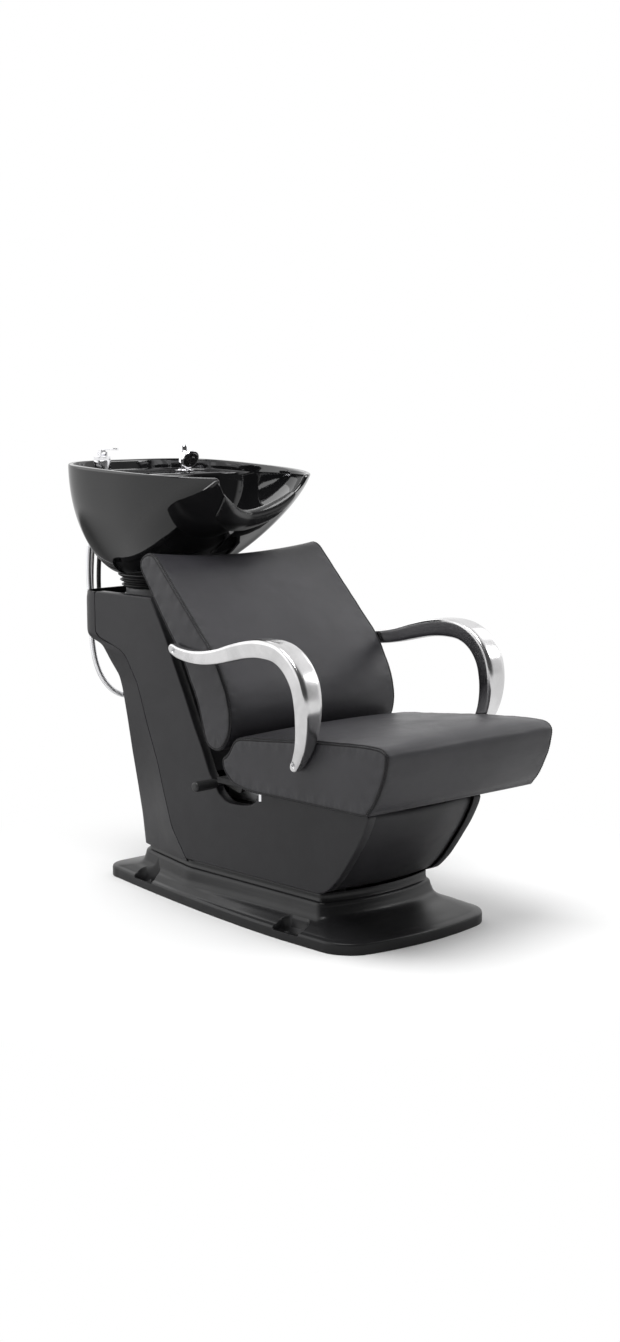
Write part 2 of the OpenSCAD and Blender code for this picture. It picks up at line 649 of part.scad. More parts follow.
module back_cushion() {
    color([0.12, 0.12, 0.125])
        cushion(back_profile, chair_w / 2, back_crown, neck_dip);
}

// Board behind the back cushion, on the same line, and the two steel brackets that carry it
back_line = [[-4, 452], [11, 500], [35, 543], [61, 590], [99, 637], [128, 673], [156, 710], [176, 738]];
back_board_t = 9;
bracket_t = 8;
function moved(p, d) = [for (i = [0:len(p) - 1])
    let (u = unit(p[min(i + 1, len(p) - 1)] - p[max(i - 1, 0)])) p[i] + d * [u[1], -u[0]]];
module back_board() {
    a = moved(back_line, 1 + rest_gap);
    b = moved(back_line, 1 + rest_gap + back_board_t);
    color([0.08, 0.08, 0.08]) across(concat(a, turned(b)), -board_w / 2, board_w / 2);
}
bracket_x = [36, 76];
module back_brackets() {
    rise = [for (i = [0:6]) back_line[i]];
    low = board_low - rest_gap;
    d = 1 + 2 * rest_gap + back_board_t;
    a = moved(rise, d);
    b = moved(rise, d + bracket_t);
    bend = board_back + 2;
    path = concat([[-260, low], [bend, low], [bend + 10, low + 20]], a);
    outer = concat([[-260, low - bracket_t], [bend + 4, low - bracket_t], [bend + 18, low + 18]], b);
    color([0.12, 0.12, 0.12]) both_sides()
        across(concat(outer, turned(path)), bracket_x[0], bracket_x[1]);
}

// Armrest, from back to front: middle line in Y and Z, half the bar's height, how far its inner
// face leans in over the seat, and its share of the widening
arm_path = [[70, 614, 12, 0, 0], [48, 608, 13, 0, 0.05], [5, 604, 14, 0, 0.15], [-45, 606, 15.5, 0, 0.26],
            [-100, 615, 17, 0, 0.38], [-155, 629, 19, 1, 0.52], [-210, 641, 20, 2, 0.66],
            [-262, 646, 21, 3, 0.8], [-312, 641, 21, 4, 0.92], [-352, 619, 21, 4, 1],
            [-379, 582, 21, 4, 1], [-388, 536, 20, 3, 0.94], [-384, 490, 18.5, 1, 0.78],
            [-371, 452, 16.5, 0, 0.52], [-350, 420, 14, 0, 0.2], [-335, 403, 12, 0, 0]];
arm_steps = 2;
function arm_ring(p, u, taper) =
    let (x0 = arm_in - p[3], x1 = arm_in + mix(arm_end_w, arm_mid_w, p[4]),
         c0 = (x0 + x1) / 2, hw = (x1 - x0) / 2 * taper, hh = p[2] * taper)
    [for (k = [0:11])
        let (a = k * 30 + 15, c = cos(a), s = sin(a),
             e = sign(c) * pow(abs(c), 0.55), g = sign(s) * pow(abs(s), 0.55))
        [c0 + e * hw, p[0] - u[1] * g * hh, p[1] + u[0] * g * hh]];
module armrest() {
    line = spline(arm_path, arm_steps);
    n = len(line);
    rings = [for (i = [-1:n])
        let (j = min(n - 1, max(i, 0)), p = line[j], a = line[max(j - 1, 0)], b = line[min(j + 1, n - 1)],
             u = unit([b[0] - a[0], b[1] - a[1]]), off = (i < 0 ? -1 : i > n - 1 ? 1 : 0) * p[2] * 0.75,
             q = [p[0] + u[0] * off, p[1] + u[1] * off, p[2], p[3], p[4]])
        arm_ring(q, u, i < 0 || i > n - 1 ? 0.55 : 1)];
    color([0.82, 0.82, 0.83]) difference() {
        skin(turned(rings));
        for (p = arm_screw_at) rod_x(arm_in + arm_end_w - 4, arm_in + 60, p[0], p[1], arm_screw_d / 2 + 1);
    }
}
arm_screw_at = [[62, 612], [-337, 407]];
module armrest_left() { armrest(); }
module armrest_right() { mirror([1, 0, 0]) armrest(); }
module arm_screws() {
    color([0.2, 0.2, 0.2]) both_sides() for (p = arm_screw_at) difference() {
        rod_x(arm_in + arm_end_w - 3.8, arm_in + arm_end_w - 0.2, p[0], p[1], arm_screw_d / 2);
        translate([arm_in + arm_end_w - 2, p[0], p[1]]) rotate([0, 90, 0]) cylinder(d = 5, h = 4, $fn = 6);
    }
}

lever_y = -10;
lever_z = board_low - 28;
lever_out = -149;
bearing_x = [-141, -30];
lever_rest = 12;
module lever_bearings() {
    color([0.15, 0.15, 0.15]) for (x = bearing_x) difference() {
        union() {
            translate([x, lever_y - 11, lever_z]) cube([4, 22, board_low - lever_z - rest_gap]);
            rod_x(x, x + 4, lever_y, lever_z, 9.5);
            translate([x, lever_y - 11, board_low - rest_gap - 3]) cube([18, 22, 3]);
        }
        rod_x(x - 1, x + 5, lever_y, lever_z, lever_shaft_d / 2 + run_clear);
    }
}
grip_y = lever_y + lever_arm * cos(lever_rest);
grip_z = lever_z + lever_arm * sin(lever_rest);
grip_x = -(stand_hw + 4);
module lever_shaft() {
    color([0.2, 0.2, 0.2]) {
        rod_x(lever_out, -20, lever_y, lever_z, lever_shaft_d / 2);
        rod_x(bearing_x[1] + 4 + rest_gap, bearing_x[1] + 10, lever_y, lever_z, 8);
        hull() {
            rod_x(lever_out, lever_out + 6, lever_y, lever_z, 9);
            rod_x(lever_out, lever_out + 6, grip_y, grip_z, 8);
        }
        rod_x(grip_x - 30, lever_out + 3, grip_y, grip_z, 5);
    }
}
module lever_grip() {
    tip = 7;
    color([0.03, 0.03, 0.03]) difference() {
        translate([grip_x, grip_y, grip_z]) rotate([0, -90, 0]) rotate_extrude()
            polygon(concat([[0, 0], [grip_d / 2 - 2, 0], [grip_d / 2 - 1, 3], [grip_d / 2, grip_len / 2]],
                           arc_pts(grip_d / 2 - tip, grip_len - tip, tip, 0, 90, 8), [[0, grip_len]]));
        rod_x(grip_x - 31, grip_x + 1, grip_y, grip_z, 5.1);
    }
}

// Basin: plan of the rim about its middle, drawn in by d; angle 0 is the back
basin_y = 344;
back_power = 3.6;
fore_power = 2.4;
function rim_at(phi, d) =
    let (c = cos(phi), s = abs(sin(phi)), n = c >= 0 ? back_power : fore_power,
         b = (c >= 0 ? basin_back : basin_fore) - d, a = basin_hw - d,
         r = pow(pow(s / a, n) + pow(abs(c) / b, n), -1 / n))
    [r * sin(phi), basin_y + r * c];
function foot_at(phi, r) = [r * sin(phi), hinge_y + r * cos(phi)];
function level_z(y) = rim_z + (y - basin_y) * tan(rim_slope);
horn_angle = 26;
function cut_at(phi) =
    let (t = min(1, (180 - min(abs(phi), 360 - abs(phi))) / horn_angle)) neck_cut * pow(1 - t * t, 0.7);
function fore_share(phi) = let (t = (1 - cos(phi)) / 2) t * t * (3 - 2 * t);
function fullness(u, phi, p_back, q_back, p_fore, q_fore) =
    let (f = fore_share(phi), k = abs(sin(phi)), p = mix(p_back, p_fore + 0.34 * k, f),
         q = mix(q_back, q_fore - 0.14 * k, f))
    pow(max(0, 1 - pow(u, p)), q);
basin_angles_half = [0, 9, 18, 27, 35, 43, 51, 59, 68, 78, 88, 98, 108, 118, 128, 138, 146, 154,
                     157, 160, 164, 168, 172, 176, 180];
basin_angles = concat(basin_angles_half, [for (i = [len(basin_angles_half) - 2:-1:1]) 360 - basin_angles_half[i]]);
function outer_at(phi, v) =
    let (rim = rim_at(phi, 0), top = level_z(rim[1]), cut = cut_at(phi) / (top - foot_z),
         u = mix(cut, 1, v), s = fullness(u, phi, 2.2, 0.65, 1.15, 0.9),
         p = mix(foot_at(phi, foot_r), rim, s))
    [p[0], p[1], mix(top, foot_z, u)];
shelf_front = 465;
drain_y = waste_y;
drain_r = 24;
bowl_low = 768;
// Basin's inner rim edge, the tap shelf's outer edge and the cavity's upper edge
function inner_rim_at(phi) =
    let (o = outer_at(phi, 0), c = [0, basin_y], q = [o[0], o[1]], u = unit(q - c))
    [q[0] - u[0] * basin_wall, q[1] - u[1] * basin_wall, o[2]];
function shelf_edge_at(phi) =
    let (p = inner_rim_at(phi), u = unit([p[0], p[1] - basin_y]))
    [p[0] - 2 * u[0], p[1] - 2 * u[1], min(shelf_z, p[2] - 5)];
function cavity_edge_at(phi) =
    let (p = shelf_edge_at(phi), back = basin_y + basin_back - basin_wall - 2)
    [p[0], p[1] < basin_y ? p[1] : basin_y + (p[1] - basin_y) * (shelf_front - basin_y) / (back - basin_y),
     p[2] - (p[1] < basin_y ? 0 : 1)];
function cavity_at(phi, v) =
    let (e = cavity_edge_at(phi), un = level_z(e[1]) - 18, cut = max(0, (un - e[2]) / (un - bowl_low)),
         u = mix(cut, 1, v), s = fullness(u, phi, 2.4, 0.6, 1.3, 0.9),
         s0 = fullness(cut, phi, 2.4, 0.6, 1.3, 0.9),
         d = [drain_r * sin(phi), drain_y + drain_r * cos(phi)], p = mix(d, [e[0], e[1]], s / s0))
    [p[0], p[1], mix(e[2], bowl_low, v)];
outer_levels = [1, 0.96, 0.9, 0.8, 0.68, 0.55, 0.42, 0.3, 0.2, 0.1, 0.04, 0];
cavity_levels = [0.06, 0.14, 0.25, 0.38, 0.52, 0.66, 0.8, 0.9, 0.96, 1];
module basin() {
    rings = concat([for (v = outer_levels) [for (a = basin_angles) outer_at(a, v)]],
                   [[for (a = basin_angles) inner_rim_at(a)],
                    [for (a = basin_angles) shelf_edge_at(a)],
                    [for (a = basin_angles) cavity_edge_at(a)]],
                   [for (v = cavity_levels) [for (a = basin_angles) cavity_at(a, v)]],
                   [[for (a = basin_angles) [drain_r * sin(a), drain_y + drain_r * cos(a), foot_z]]]);
    color([0.02, 0.02, 0.02]) difference() {
        skin(turned(rings), looped = true);
        translate([-tap_x - 31, shelf_front + 20, 800]) cube([tap_gauge + 62, 200, shelf_z - shelf_t - 800]);
        for (s = [-1, 1]) translate([s * tap_x, tap_y, shelf_z - shelf_t - 1]) cylinder(d = tap_hole_d, h = shelf_t + 2);
        translate([0, drain_y, foot_z - 1]) cylinder(r = drain_r + 2, h = 100);
    }
}

// Steel bracket under the basin, with two lugs on the hinge pins
lug_x = 54;
lug_t = 6;
bracket_z = foot_z - 6;
module basin_bracket() {
    color([0.15, 0.15, 0.15]) difference() {
        union() {
            translate([0, hinge_y, bracket_z]) cylinder(r = 92, h = 6 - rest_gap);
            for (s = [-1, 1]) translate([s * lug_x - lug_t / 2, hinge_y - 16, hinge_z]) {
                cube([lug_t, 32, bracket_z - hinge_z]);
                translate([0, 16, 0]) rotate([0, 90, 0]) cylinder(r = 16, h = lug_t);
            }
        }
        rod_x(-90, 90, hinge_y, hinge_z, hinge_d / 2 + rest_gap / 3);
        translate([0, drain_y, bracket_z - 1]) cylinder(r = waste_r + 4, h = 10);
    }
}
module hinge_pins() {
    color([0.6, 0.6, 0.6]) both_sides() {
        rod_x(lug_x - lug_t / 2 - 1, ear_x + ear_t / 2 + 1, hinge_y, hinge_z, hinge_d / 2);
        rod_x(lug_x - lug_t / 2 - 5, lug_x - lug_t / 2 - 0.4, hinge_y, hinge_z, hinge_d / 2 + 3);
    }
}
// Bellows boot between basin and collar
boot_low = deck_z + 20 + rest_gap;
module neck_boot() {
    h = foot_z - rest_gap - boot_low;
    color([0.02, 0.02, 0.02]) translate([0, hinge_y, boot_low]) rotate_extrude()
        polygon([[84, 0], [90, 0], [97, h * 0.18], [91, h * 0.34], [101, h * 0.52], [95, h * 0.68],
                 [foot_r + 1, h * 0.88], [foot_r, h], [95, h], [95, h * 0.86], [89, h * 0.66],
                 [95, h * 0.5], [86, h * 0.34], [91, h * 0.18]]);
}

// Rubber saddle over the edge of the neck cut-out, on the basin's own surfaces
rest_angles = [for (a = basin_angles) if (abs(a - 180) < 24) a];
rest_thick = rest_roll * [0.13, 0.62, 0.92, 1, 0.74, 0.44, 0.13];
function rest_line(a) = [outer_at(a, 0.26), outer_at(a, 0.16), outer_at(a, 0.07), outer_at(a, 0),
                         inner_rim_at(a), shelf_edge_at(a), cavity_at(a, 0.06)];
function rest_way(a, k) = let (s = sin(a), c = cos(a))
    unit(k < 3 ? [s, c, -0.75] : k == 3 ? [s, c, 0.5] : k == 4 ? [-0.4 * s, -0.4 * c, 1] : [-s, -c, 0.5]);
function rest_grid(on) = [for (i = [0:len(rest_angles) - 1])
    let (a = rest_angles[i], line = rest_line(a), end = min(i, len(rest_angles) - 1 - i),
         full = end == 0 ? 0.3 : end == 1 ? 0.72 : end == 2 ? 0.94 : 1)
    [for (k = [0:6]) line[k] + rest_way(a, k) * (rest_lift + on * rest_thick[k] * full)]];
module neck_rest() {
    color([0.03, 0.03, 0.03]) sheet(rest_grid(1), rest_grid(0));
}
module drain_strainer() {
    color([0.8, 0.8, 0.82]) translate([0, drain_y, 0]) difference() {
        union() {
            translate([0, 0, foot_z + 4]) cylinder(r = drain_r + 1.8, h = bowl_low - foot_z - 2);
            rotate_extrude() polygon([[0, bowl_low + 0.6], [drain_r + 1.4, bowl_low + 0.6],
                [drain_r + 2.4, bowl_low + 4.2], [drain_r + 2.4, bowl_low + 4.9], [drain_r - 2, bowl_low + 6],
                [0, bowl_low + 6]]);
        }
        translate([0, 0, foot_z]) cylinder(r = drain_r - 3, h = bowl_low - foot_z - 2);
        for (a = [0:60:300]) rotate(a) translate([12, 0, bowl_low - 10]) cylinder(r = 3.4, h = 20);
        translate([0, 0, bowl_low - 10]) cylinder(r = 3.4, h = 20);
    }
}
module waste_tail() {
    color([0.75, 0.75, 0.75]) translate([0, drain_y, 0]) difference() {
        union() {
            translate([0, 0, 672]) cylinder(r = waste_r - 4, h = foot_z + 3.8 - 672);
            translate([0, 0, foot_z - 16]) cylinder(r = waste_r + 4 - rest_gap, h = 15);
        }
        translate([0, 0, 671]) cylinder(r = waste_r - 6.5, h = foot_z - 660);
    }
}

// Mixer tap: body and shank, turning cap, and lever on a cross pin
mixer_top = shelf_z + 34;
cap_h = 9;
lever_pivot_z = mixer_top + rest_gap + cap_h + 7;
module mixer_body() {
    color([0.85, 0.85, 0.87]) translate([-tap_x, tap_y, 0]) {
        translate([0, 0, shelf_z + 0.2]) cylinder(r = 27, h = 5);
        translate([0, 0, shelf_z + 5]) cylinder(r = 21, h = mixer_top - shelf_z - 5);
        translate([0, 0, shelf_z - shelf_t - 22]) cylinder(r = 15.5, h = shelf_t + 24);
    }
}
module mixer_cap() {
    color([0.85, 0.85, 0.87]) translate([-tap_x, tap_y, mixer_top + rest_gap]) difference() {
        union() {
            cylinder(r = 20, h = cap_h);
            translate([-11, -8, cap_h - 1]) cube([3.5, 16, 12]);
            translate([7.5, -8, cap_h - 1]) cube([3.5, 16, 12]);
        }
        translate([-20, 0, cap_h + 7]) rotate([0, 90, 0]) cylinder(r = 3 + run_clear, h = 40);
    }
}
module mixer_pin() {
    color([0.7, 0.7, 0.7]) rod_x(-tap_x - 11.5, -tap_x + 11.5, tap_y, lever_pivot_z, 3);
}
lever_reach = 52;
lever_rise = 9;
module mixer_lever() {
    color([0.88, 0.88, 0.9]) difference() {
        union() {
            rod_x(-tap_x - 7, -tap_x + 7, tap_y, lever_pivot_z, 6);
            translate([-tap_x - 7, tap_y - 5, lever_pivot_z + 2]) cube([14, 10, lever_rise]);
            intersection() {
                translate([-tap_x, tap_y, lever_pivot_z + lever_rise - 39]) sphere(r = 44);
                translate([-tap_x, tap_y, lever_pivot_z + lever_rise]) cylinder(r = 29, h = 20);
            }
            translate([-tap_x - 9, tap_y - lever_reach, lever_pivot_z + lever_rise]) cube([18, lever_reach - 18, 5]);
            translate([-tap_x, tap_y - lever_reach, lever_pivot_z + lever_rise]) cylinder(r = 9, h = 5);
        }
        rod_x(-tap_x - 20, -tap_x + 20, tap_y, lever_pivot_z, 3 + run_clear);
    }
}

// Shower holder: a sleeve through the shelf with a mouth for the hand shower's stem
holder_bore = 12.6;
holder_top = shelf_z + 6;
module shower_holder() {
    color([0.85, 0.85, 0.87]) translate([tap_x, tap_y, 0]) difference() {
        union() {
            translate([0, 0, shelf_z + 0.2]) cylinder(r = 25, h = 4);
            translate([0, 0, shelf_z + 3]) cylinder(r = 17, h = holder_top - shelf_z - 3);
            translate([0, 0, shelf_z - shelf_t - 22]) cylinder(r = 15.5, h = shelf_t + 24);
        }
        translate([0, 0, shelf_z - 80]) cylinder(r = holder_bore, h = 120);
    }
}
module tap_nuts() {
    color([0.75, 0.75, 0.77]) both_sides() translate([tap_x, tap_y, shelf_z - shelf_t - 10.2]) difference() {
        cylinder(r = 24, h = 10, $fn = 6);
        translate([0, 0, -1]) cylinder(r = 15.6, h = 12);
    }
}
spray_tilt = 62;
spray_ahead = 26;
spray_z = shelf_z + 29;
stem_low = shelf_z - 14;
module hand_shower() {
    r = spray_d / 2;
    color([0.85, 0.85, 0.87]) {
        translate([tap_x, tap_y, 0]) rotate_extrude() polygon([[0, stem_low], [9, stem_low],
            [holder_bore - 0.1, stem_low + 10], [holder_bore - 0.1, holder_top + 1], [14.5, holder_top + 1.4],
            [15, holder_top + 16], [12.5, holder_top + 28], [12.5, holder_top + 44], [10, holder_top + 46],
            [10, holder_top + 56], [7.5, holder_top + 60], [0, holder_top + 61]]);
        translate([tap_x, tap_y - spray_ahead, spray_z]) rotate([90 + 90 - spray_tilt, 0, 0]) rotate_extrude()
            polygon([[0, 0], [r - 1, 0], [r, -2], [r, -6], [r - 3, -13], [r - 10, -20], [12, -30], [0, -34]]);
    }
}
module spray_face() {
    r = spray_d / 2;
    color([0.03, 0.03, 0.03]) translate([tap_x, tap_y - spray_ahead, spray_z]) rotate([90 + 90 - spray_tilt, 0, 0])
        rotate_extrude() polygon([[0, 0.2], [r - 4, 0.2], [r - 6, 3], [11, 3], [9, 5], [0, 5]]);
}

// Hose routes, in points along the middle of each hose
shower_route = [[-127, 515, 934], [-127, 516, 915], [-127, 522, 892], [-127, 536, 868], [-127, 556, 842],
                [-127, 572, 812], [-125, 581, 776], [-122, 586, 736], [-119, 587, 692], [-117, 587, 646],
                [-116, 587, 602], [-114, 586, 562], [-107, 585, 522], [-92, 584, 484], [-67, 583, 452],
                [-36, 582, 432], [0, 582, 425], [36, 582, 432], [67, 583, 452], [92, 584, 484],
                [107, 585, 522], [114, 586, 562], [116, 587, 602], [117, 587, 646], [119, 587, 692],
                [122, 586, 736], [125, 581, 776], [127, 572, 812], [127, 556, 842], [127, 536, 868],
                [127, 522, 892], [127, 516, 915], [127, 515, 940], [127, 515, 970]];
hot_route = [[-120, 528, 934], [-118, 532, 912], [-114, 544, 886], [-110, 562, 858], [-107, 580, 828],
             [-105, 592, 794], [-104, 598, 758], [-104, 600, 722], [-104, 598, 688], [-104, 590, 660],
             [-104, 580, 645], [-104, 568, 640], [-104, 554, 640], [-104, 538, 640]];
cold_route = [[-106, 528, 934], [-102, 532, 912], [-96, 544, 886], [-90, 562, 858], [-86, 580, 828],
              [-83, 592, 794], [-82, 598, 758], [-82, 600, 722], [-82, 598, 688], [-82, 590, 660],
              [-82, 580, 645], [-82, 568, 640], [-82, 554, 640], [-82, 538, 640]];
module hose(route, d, steps, sides) {
    line = spline(route, steps);
    n = len(line);
    rings = [for (i = [0:n - 1])
        let (t = unit(line[min(i + 1, n - 1)] - line[max(i - 1, 0)]),
             side = unit(cross(t, [0.13, 1, 0.09])), up = cross(t, side))
        [for (k = [0:sides - 1]) let (a = k * 360 / sides)
            line[i] + (side * cos(a) + up * sin(a)) * d / 2]];
    skin(rings);
}
module shower_hose() { color([0.8, 0.8, 0.82]) hose(shower_route, shower_hose_d, 2, 8); }
module supply_hose_hot() { color([0.6, 0.5, 0.5]) hose(hot_route, supply_hose_d, 2, 8); }
module supply_hose_cold() { color([0.05, 0.05, 0.05]) hose(cold_route, supply_hose_d, 2, 8); }

base_shell();
base_plate();
side_panel_right();
side_panel_left();
column_shell();
front_cover();
slope_cover();
head_deck();
neck_collar();
uprights();
seat_beams();
front_posts();
cross_bars();
yoke();
seat_rails();
deck_bolts();
hose_gland();
waste_pipe();
panel_screws();
seat_board();
runners();
seat_cushion();
back_board();
back_brackets();
back_cushion();
armrest_right();
armrest_left();
arm_screws();
seat_bolts();
lever_bearings();
lever_shaft();
lever_grip();
basin();
basin_bracket();
hinge_pins();
neck_boot();
neck_rest();
drain_strainer();
waste_tail();
mixer_body();
mixer_cap();
mixer_pin();
mixer_lever();
shower_holder();
tap_nuts();
hand_shower();
spray_face();
shower_hose();
supply_hose_hot();
supply_hose_cold();
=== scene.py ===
"""Looks of the salon backwash unit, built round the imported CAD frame.

The chair faces -Y, the basin is at +Y and the floor is Z = 0. Sizes in the dataclasses are in
millimetres, as in the CAD source, and every mesh is written in metres in the CAD's own frame.
"""
from __future__ import annotations

import json
import logging
import math
from dataclasses import dataclass, field
from enum import Enum
from typing import Callable, Sequence

import bmesh
import bpy
import numpy as np
from mathutils import Matrix, Vector
from mathutils.bvhtree import BVHTree


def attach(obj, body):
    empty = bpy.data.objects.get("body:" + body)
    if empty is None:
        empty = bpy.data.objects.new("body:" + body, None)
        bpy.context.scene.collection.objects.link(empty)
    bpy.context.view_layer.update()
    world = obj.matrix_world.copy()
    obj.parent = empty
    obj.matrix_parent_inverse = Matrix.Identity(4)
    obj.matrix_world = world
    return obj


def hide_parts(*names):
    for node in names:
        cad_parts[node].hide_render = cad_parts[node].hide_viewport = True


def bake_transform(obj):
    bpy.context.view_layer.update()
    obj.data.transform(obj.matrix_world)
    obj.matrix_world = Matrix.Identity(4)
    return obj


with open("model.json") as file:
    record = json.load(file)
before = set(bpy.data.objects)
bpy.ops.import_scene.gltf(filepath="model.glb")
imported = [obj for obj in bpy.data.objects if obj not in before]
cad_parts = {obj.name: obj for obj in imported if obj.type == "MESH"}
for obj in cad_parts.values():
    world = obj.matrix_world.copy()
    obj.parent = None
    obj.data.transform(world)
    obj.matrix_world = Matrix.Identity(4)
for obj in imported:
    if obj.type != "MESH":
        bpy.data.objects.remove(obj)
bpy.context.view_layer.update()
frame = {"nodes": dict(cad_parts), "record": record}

LOG = logging.getLogger("backwash_unit")
MM = 0.001
BODY_OF = {node: body for body, nodes in frame["record"]["behaviour"]["bodies"].items() for node in nodes}
SLOT_OF = {part["node"]: part["material_slot"] for part in frame["record"]["subparts"]}
ASIDE = (0.13, 1, 0.09)
ROD_SIDES = 40
TURNED_SIDES = 96
SIDES = ((1, "left"), (-1, "right"))
Points = np.ndarray


# ---------------------------------------------------------------- curves and meshes

def catmull(points: Sequence, steps: int, closed: bool = False) -> Points:
    """Runs a Catmull-Rom curve through points.

    Each span is 0.5 (2b + (c-a)t + (2a-5b+4c-d)t^2 + (3b-a-3c+d)t^3), with a and d its outer
    neighbours, as the CAD's hoses and armrests are made.

    Args:
        points: Control points, one row each.
        steps: Samples per span.
        closed: Whether the last point leads back to the first.

    Returns:
        The sampled points; an open curve ends with its last control point.
    """
    p = np.asarray(points, float)
    n = len(p)
    i = np.arange(n if closed else n - 1)
    pick = (lambda k: p[k % n]) if closed else (lambda k: p[np.clip(k, 0, n - 1)])
    a, b, c, d = (pick(i + k)[:, None, :] for k in (-1, 0, 1, 2))
    t = (np.arange(steps) / steps)[None, :, None]
    curve = 0.5 * (2 * b + (c - a) * t + (2 * a - 5 * b + 4 * c - d) * t**2 + (3 * b - a - 3 * c + d) * t**3)
    curve = curve.reshape(-1, p.shape[1])
    return curve if closed else np.vstack([curve, p[-1]])


def lengths(line: Points) -> np.ndarray:
    """Length along a polyline at each of its points."""
    return np.concatenate([[0], np.cumsum(np.linalg.norm(np.diff(line, axis=0), axis=1))])


def spaced(points: Points, step: float, closed: bool = False) -> Points:
    """Resamples a polyline at even steps along its length.

    Args:
        points: Rows of points.
        step: Wanted distance between samples, in the points' unit.
        closed: Whether the line closes on itself.

    Returns:
        The new points, without a repeat of the first one on a closed line.
    """
    p = np.vstack([points, points[:1]]) if closed else np.asarray(points, float)
    along = lengths(p[:, :3])
    count = max(4, int(round(along[-1] / step)))
    at = np.linspace(0, along[-1], count + 1)
    out = np.stack([np.interp(at, along, p[:, k]) for k in range(p.shape[1])], axis=1)
    return out[:-1] if closed else out


def softened(points: Points, sigma: float, closed: bool = True) -> Points:
    """Rounds a polyline's corners with a Gaussian running mean of sigma samples.

    Args:
        points: Rows of evenly spaced points.
        sigma: Width of the mean, in samples.
        closed: Whether the line closes on itself; an open one keeps its ends.

    Returns:
        As many points, smoothed.
    """
    reach = int(3 * sigma) + 1
    k = np.arange(-reach, reach + 1)
    w = np.exp(-0.5 * (k / sigma) ** 2)
    w /= w.sum()
    mode = "wrap" if closed else "reflect"
    extra = {} if closed else {"reflect_type": "odd"}
    p = np.pad(points, ((reach, reach), (0, 0)), mode=mode, **extra)
    return np.stack([np.convolve(p[:, j], w, "valid") for j in range(points.shape[1])], axis=1)


def inset(outline: Points, depth: np.ndarray | float) -> Points:
    """Draws a closed outline in along its corners' bisectors: p + depth (n1 + n2) / (1 + n1.n2)."""
    before, after = np.roll(outline, 1, 0), np.roll(outline, -1, 0)
    u, v = unit(outline - before), unit(after - outline)
    q = np.stack([-u[:, 1] - v[:, 1], u[:, 0] + v[:, 0]], axis=1)
    return outline + np.asarray(depth).reshape(-1, 1) * q / np.maximum(0.6, 1 + (u * v).sum(1))[:, None]


def tangents(line: Points, closed: bool = False) -> Points:
    """Unit directions along a polyline, by central differences."""
    if closed:
        d = np.roll(line, -1, 0) - np.roll(line, 1, 0)
    else:
        d = np.gradient(line, axis=0)
    return d / np.maximum(np.linalg.norm(d, axis=1, keepdims=True), 1e-12)


def unit(rows: Points) -> Points:
    """Each row divided by its length."""
    return rows / np.linalg.norm(rows, axis=1, keepdims=True)


def smooth(t: np.ndarray) -> np.ndarray:
    """A step from 0 to 1 with level ends: t^2 (3 - 2t)."""
    return t * t * (3 - 2 * t)


def bent(start: Points, corner: Points, end: Points, t: np.ndarray) -> Points:
    """A quadratic Bezier round a corner: (1-t)^2 start + 2t(1-t) corner + t^2 end."""
    return (1 - t) ** 2 * start + 2 * t * (1 - t) * corner + t**2 * end


def at_height(plan: Points, z: np.ndarray | float) -> Points:
    """Rows of X, Y with their height added."""
    return np.column_stack([plan, np.broadcast_to(z, len(plan))])


def at_side(x: float, section: Points) -> Points:
    """Rows of Y, Z put at one X."""
    return np.column_stack([np.full(len(section), x), section])


def new_piece(name: str, verts: Points, faces: Sequence, smooth: bool = True) -> bpy.types.Object:
    """Makes an object at the origin from points in metres and faces.

    Args:
        name: The object's name.
        verts: Rows of X, Y, Z.
        faces: Index rows, an array or a list.
        smooth: Whether faces are shaded smooth.

    Returns:
        The linked object.
    """
    mesh = bpy.data.meshes.new(name)
    mesh.from_pydata(np.asarray(verts, float), [], [list(map(int, f)) for f in faces])
    mesh.update()
    if smooth:
        mesh.shade_smooth()
    piece = bpy.data.objects.new(name, mesh)
    bpy.context.scene.collection.objects.link(piece)
    return piece


def quads(rows: int, columns: int, wrap_rows: bool, wrap_columns: bool) -> np.ndarray:
    """Quads of a grid stored row by row, wrapped either way where asked."""
    i, j = np.meshgrid(np.arange(rows if wrap_rows else rows - 1),
                       np.arange(columns if wrap_columns else columns - 1), indexing="ij")
    i2, j2 = (i + 1) % rows, (j + 1) % columns
    corners = [i * columns + j, i * columns + j2, i2 * columns + j2, i2 * columns + j]
    return np.stack(corners, -1).reshape(-1, 4)


def outward(piece: bpy.types.Object) -> bpy.types.Object:
    """Merges doubles and turns a closed mesh's faces outwards."""
    bm = bmesh.new()
    bm.from_mesh(piece.data)
    bmesh.ops.remove_doubles(bm, verts=bm.verts, dist=1e-6)
    bmesh.ops.recalc_face_normals(bm, faces=bm.faces)
    bm.to_mesh(piece.data)
    bm.free()
    return piece


def loft(name: str, grid: Points, wrap_rows: bool = False) -> bpy.types.Object:
    """Skins closed rings in order into one closed surface.

    Args:
        name: The object's name.
        grid: Array (rings, points, 3) in metres; each ring closes on itself.
        wrap_rows: Whether the last ring joins the first; the end rings are filled where it doesn't.

    Returns:
        The piece, faces outwards.
    """
    m, n = grid.shape[:2]
    faces = quads(m, n, wrap_rows, True).tolist()
    if not wrap_rows:
        faces += [list(range(n - 1, -1, -1)), list(range((m - 1) * n, m * n))]
    return outward(new_piece(name, grid.reshape(-1, 3), faces))


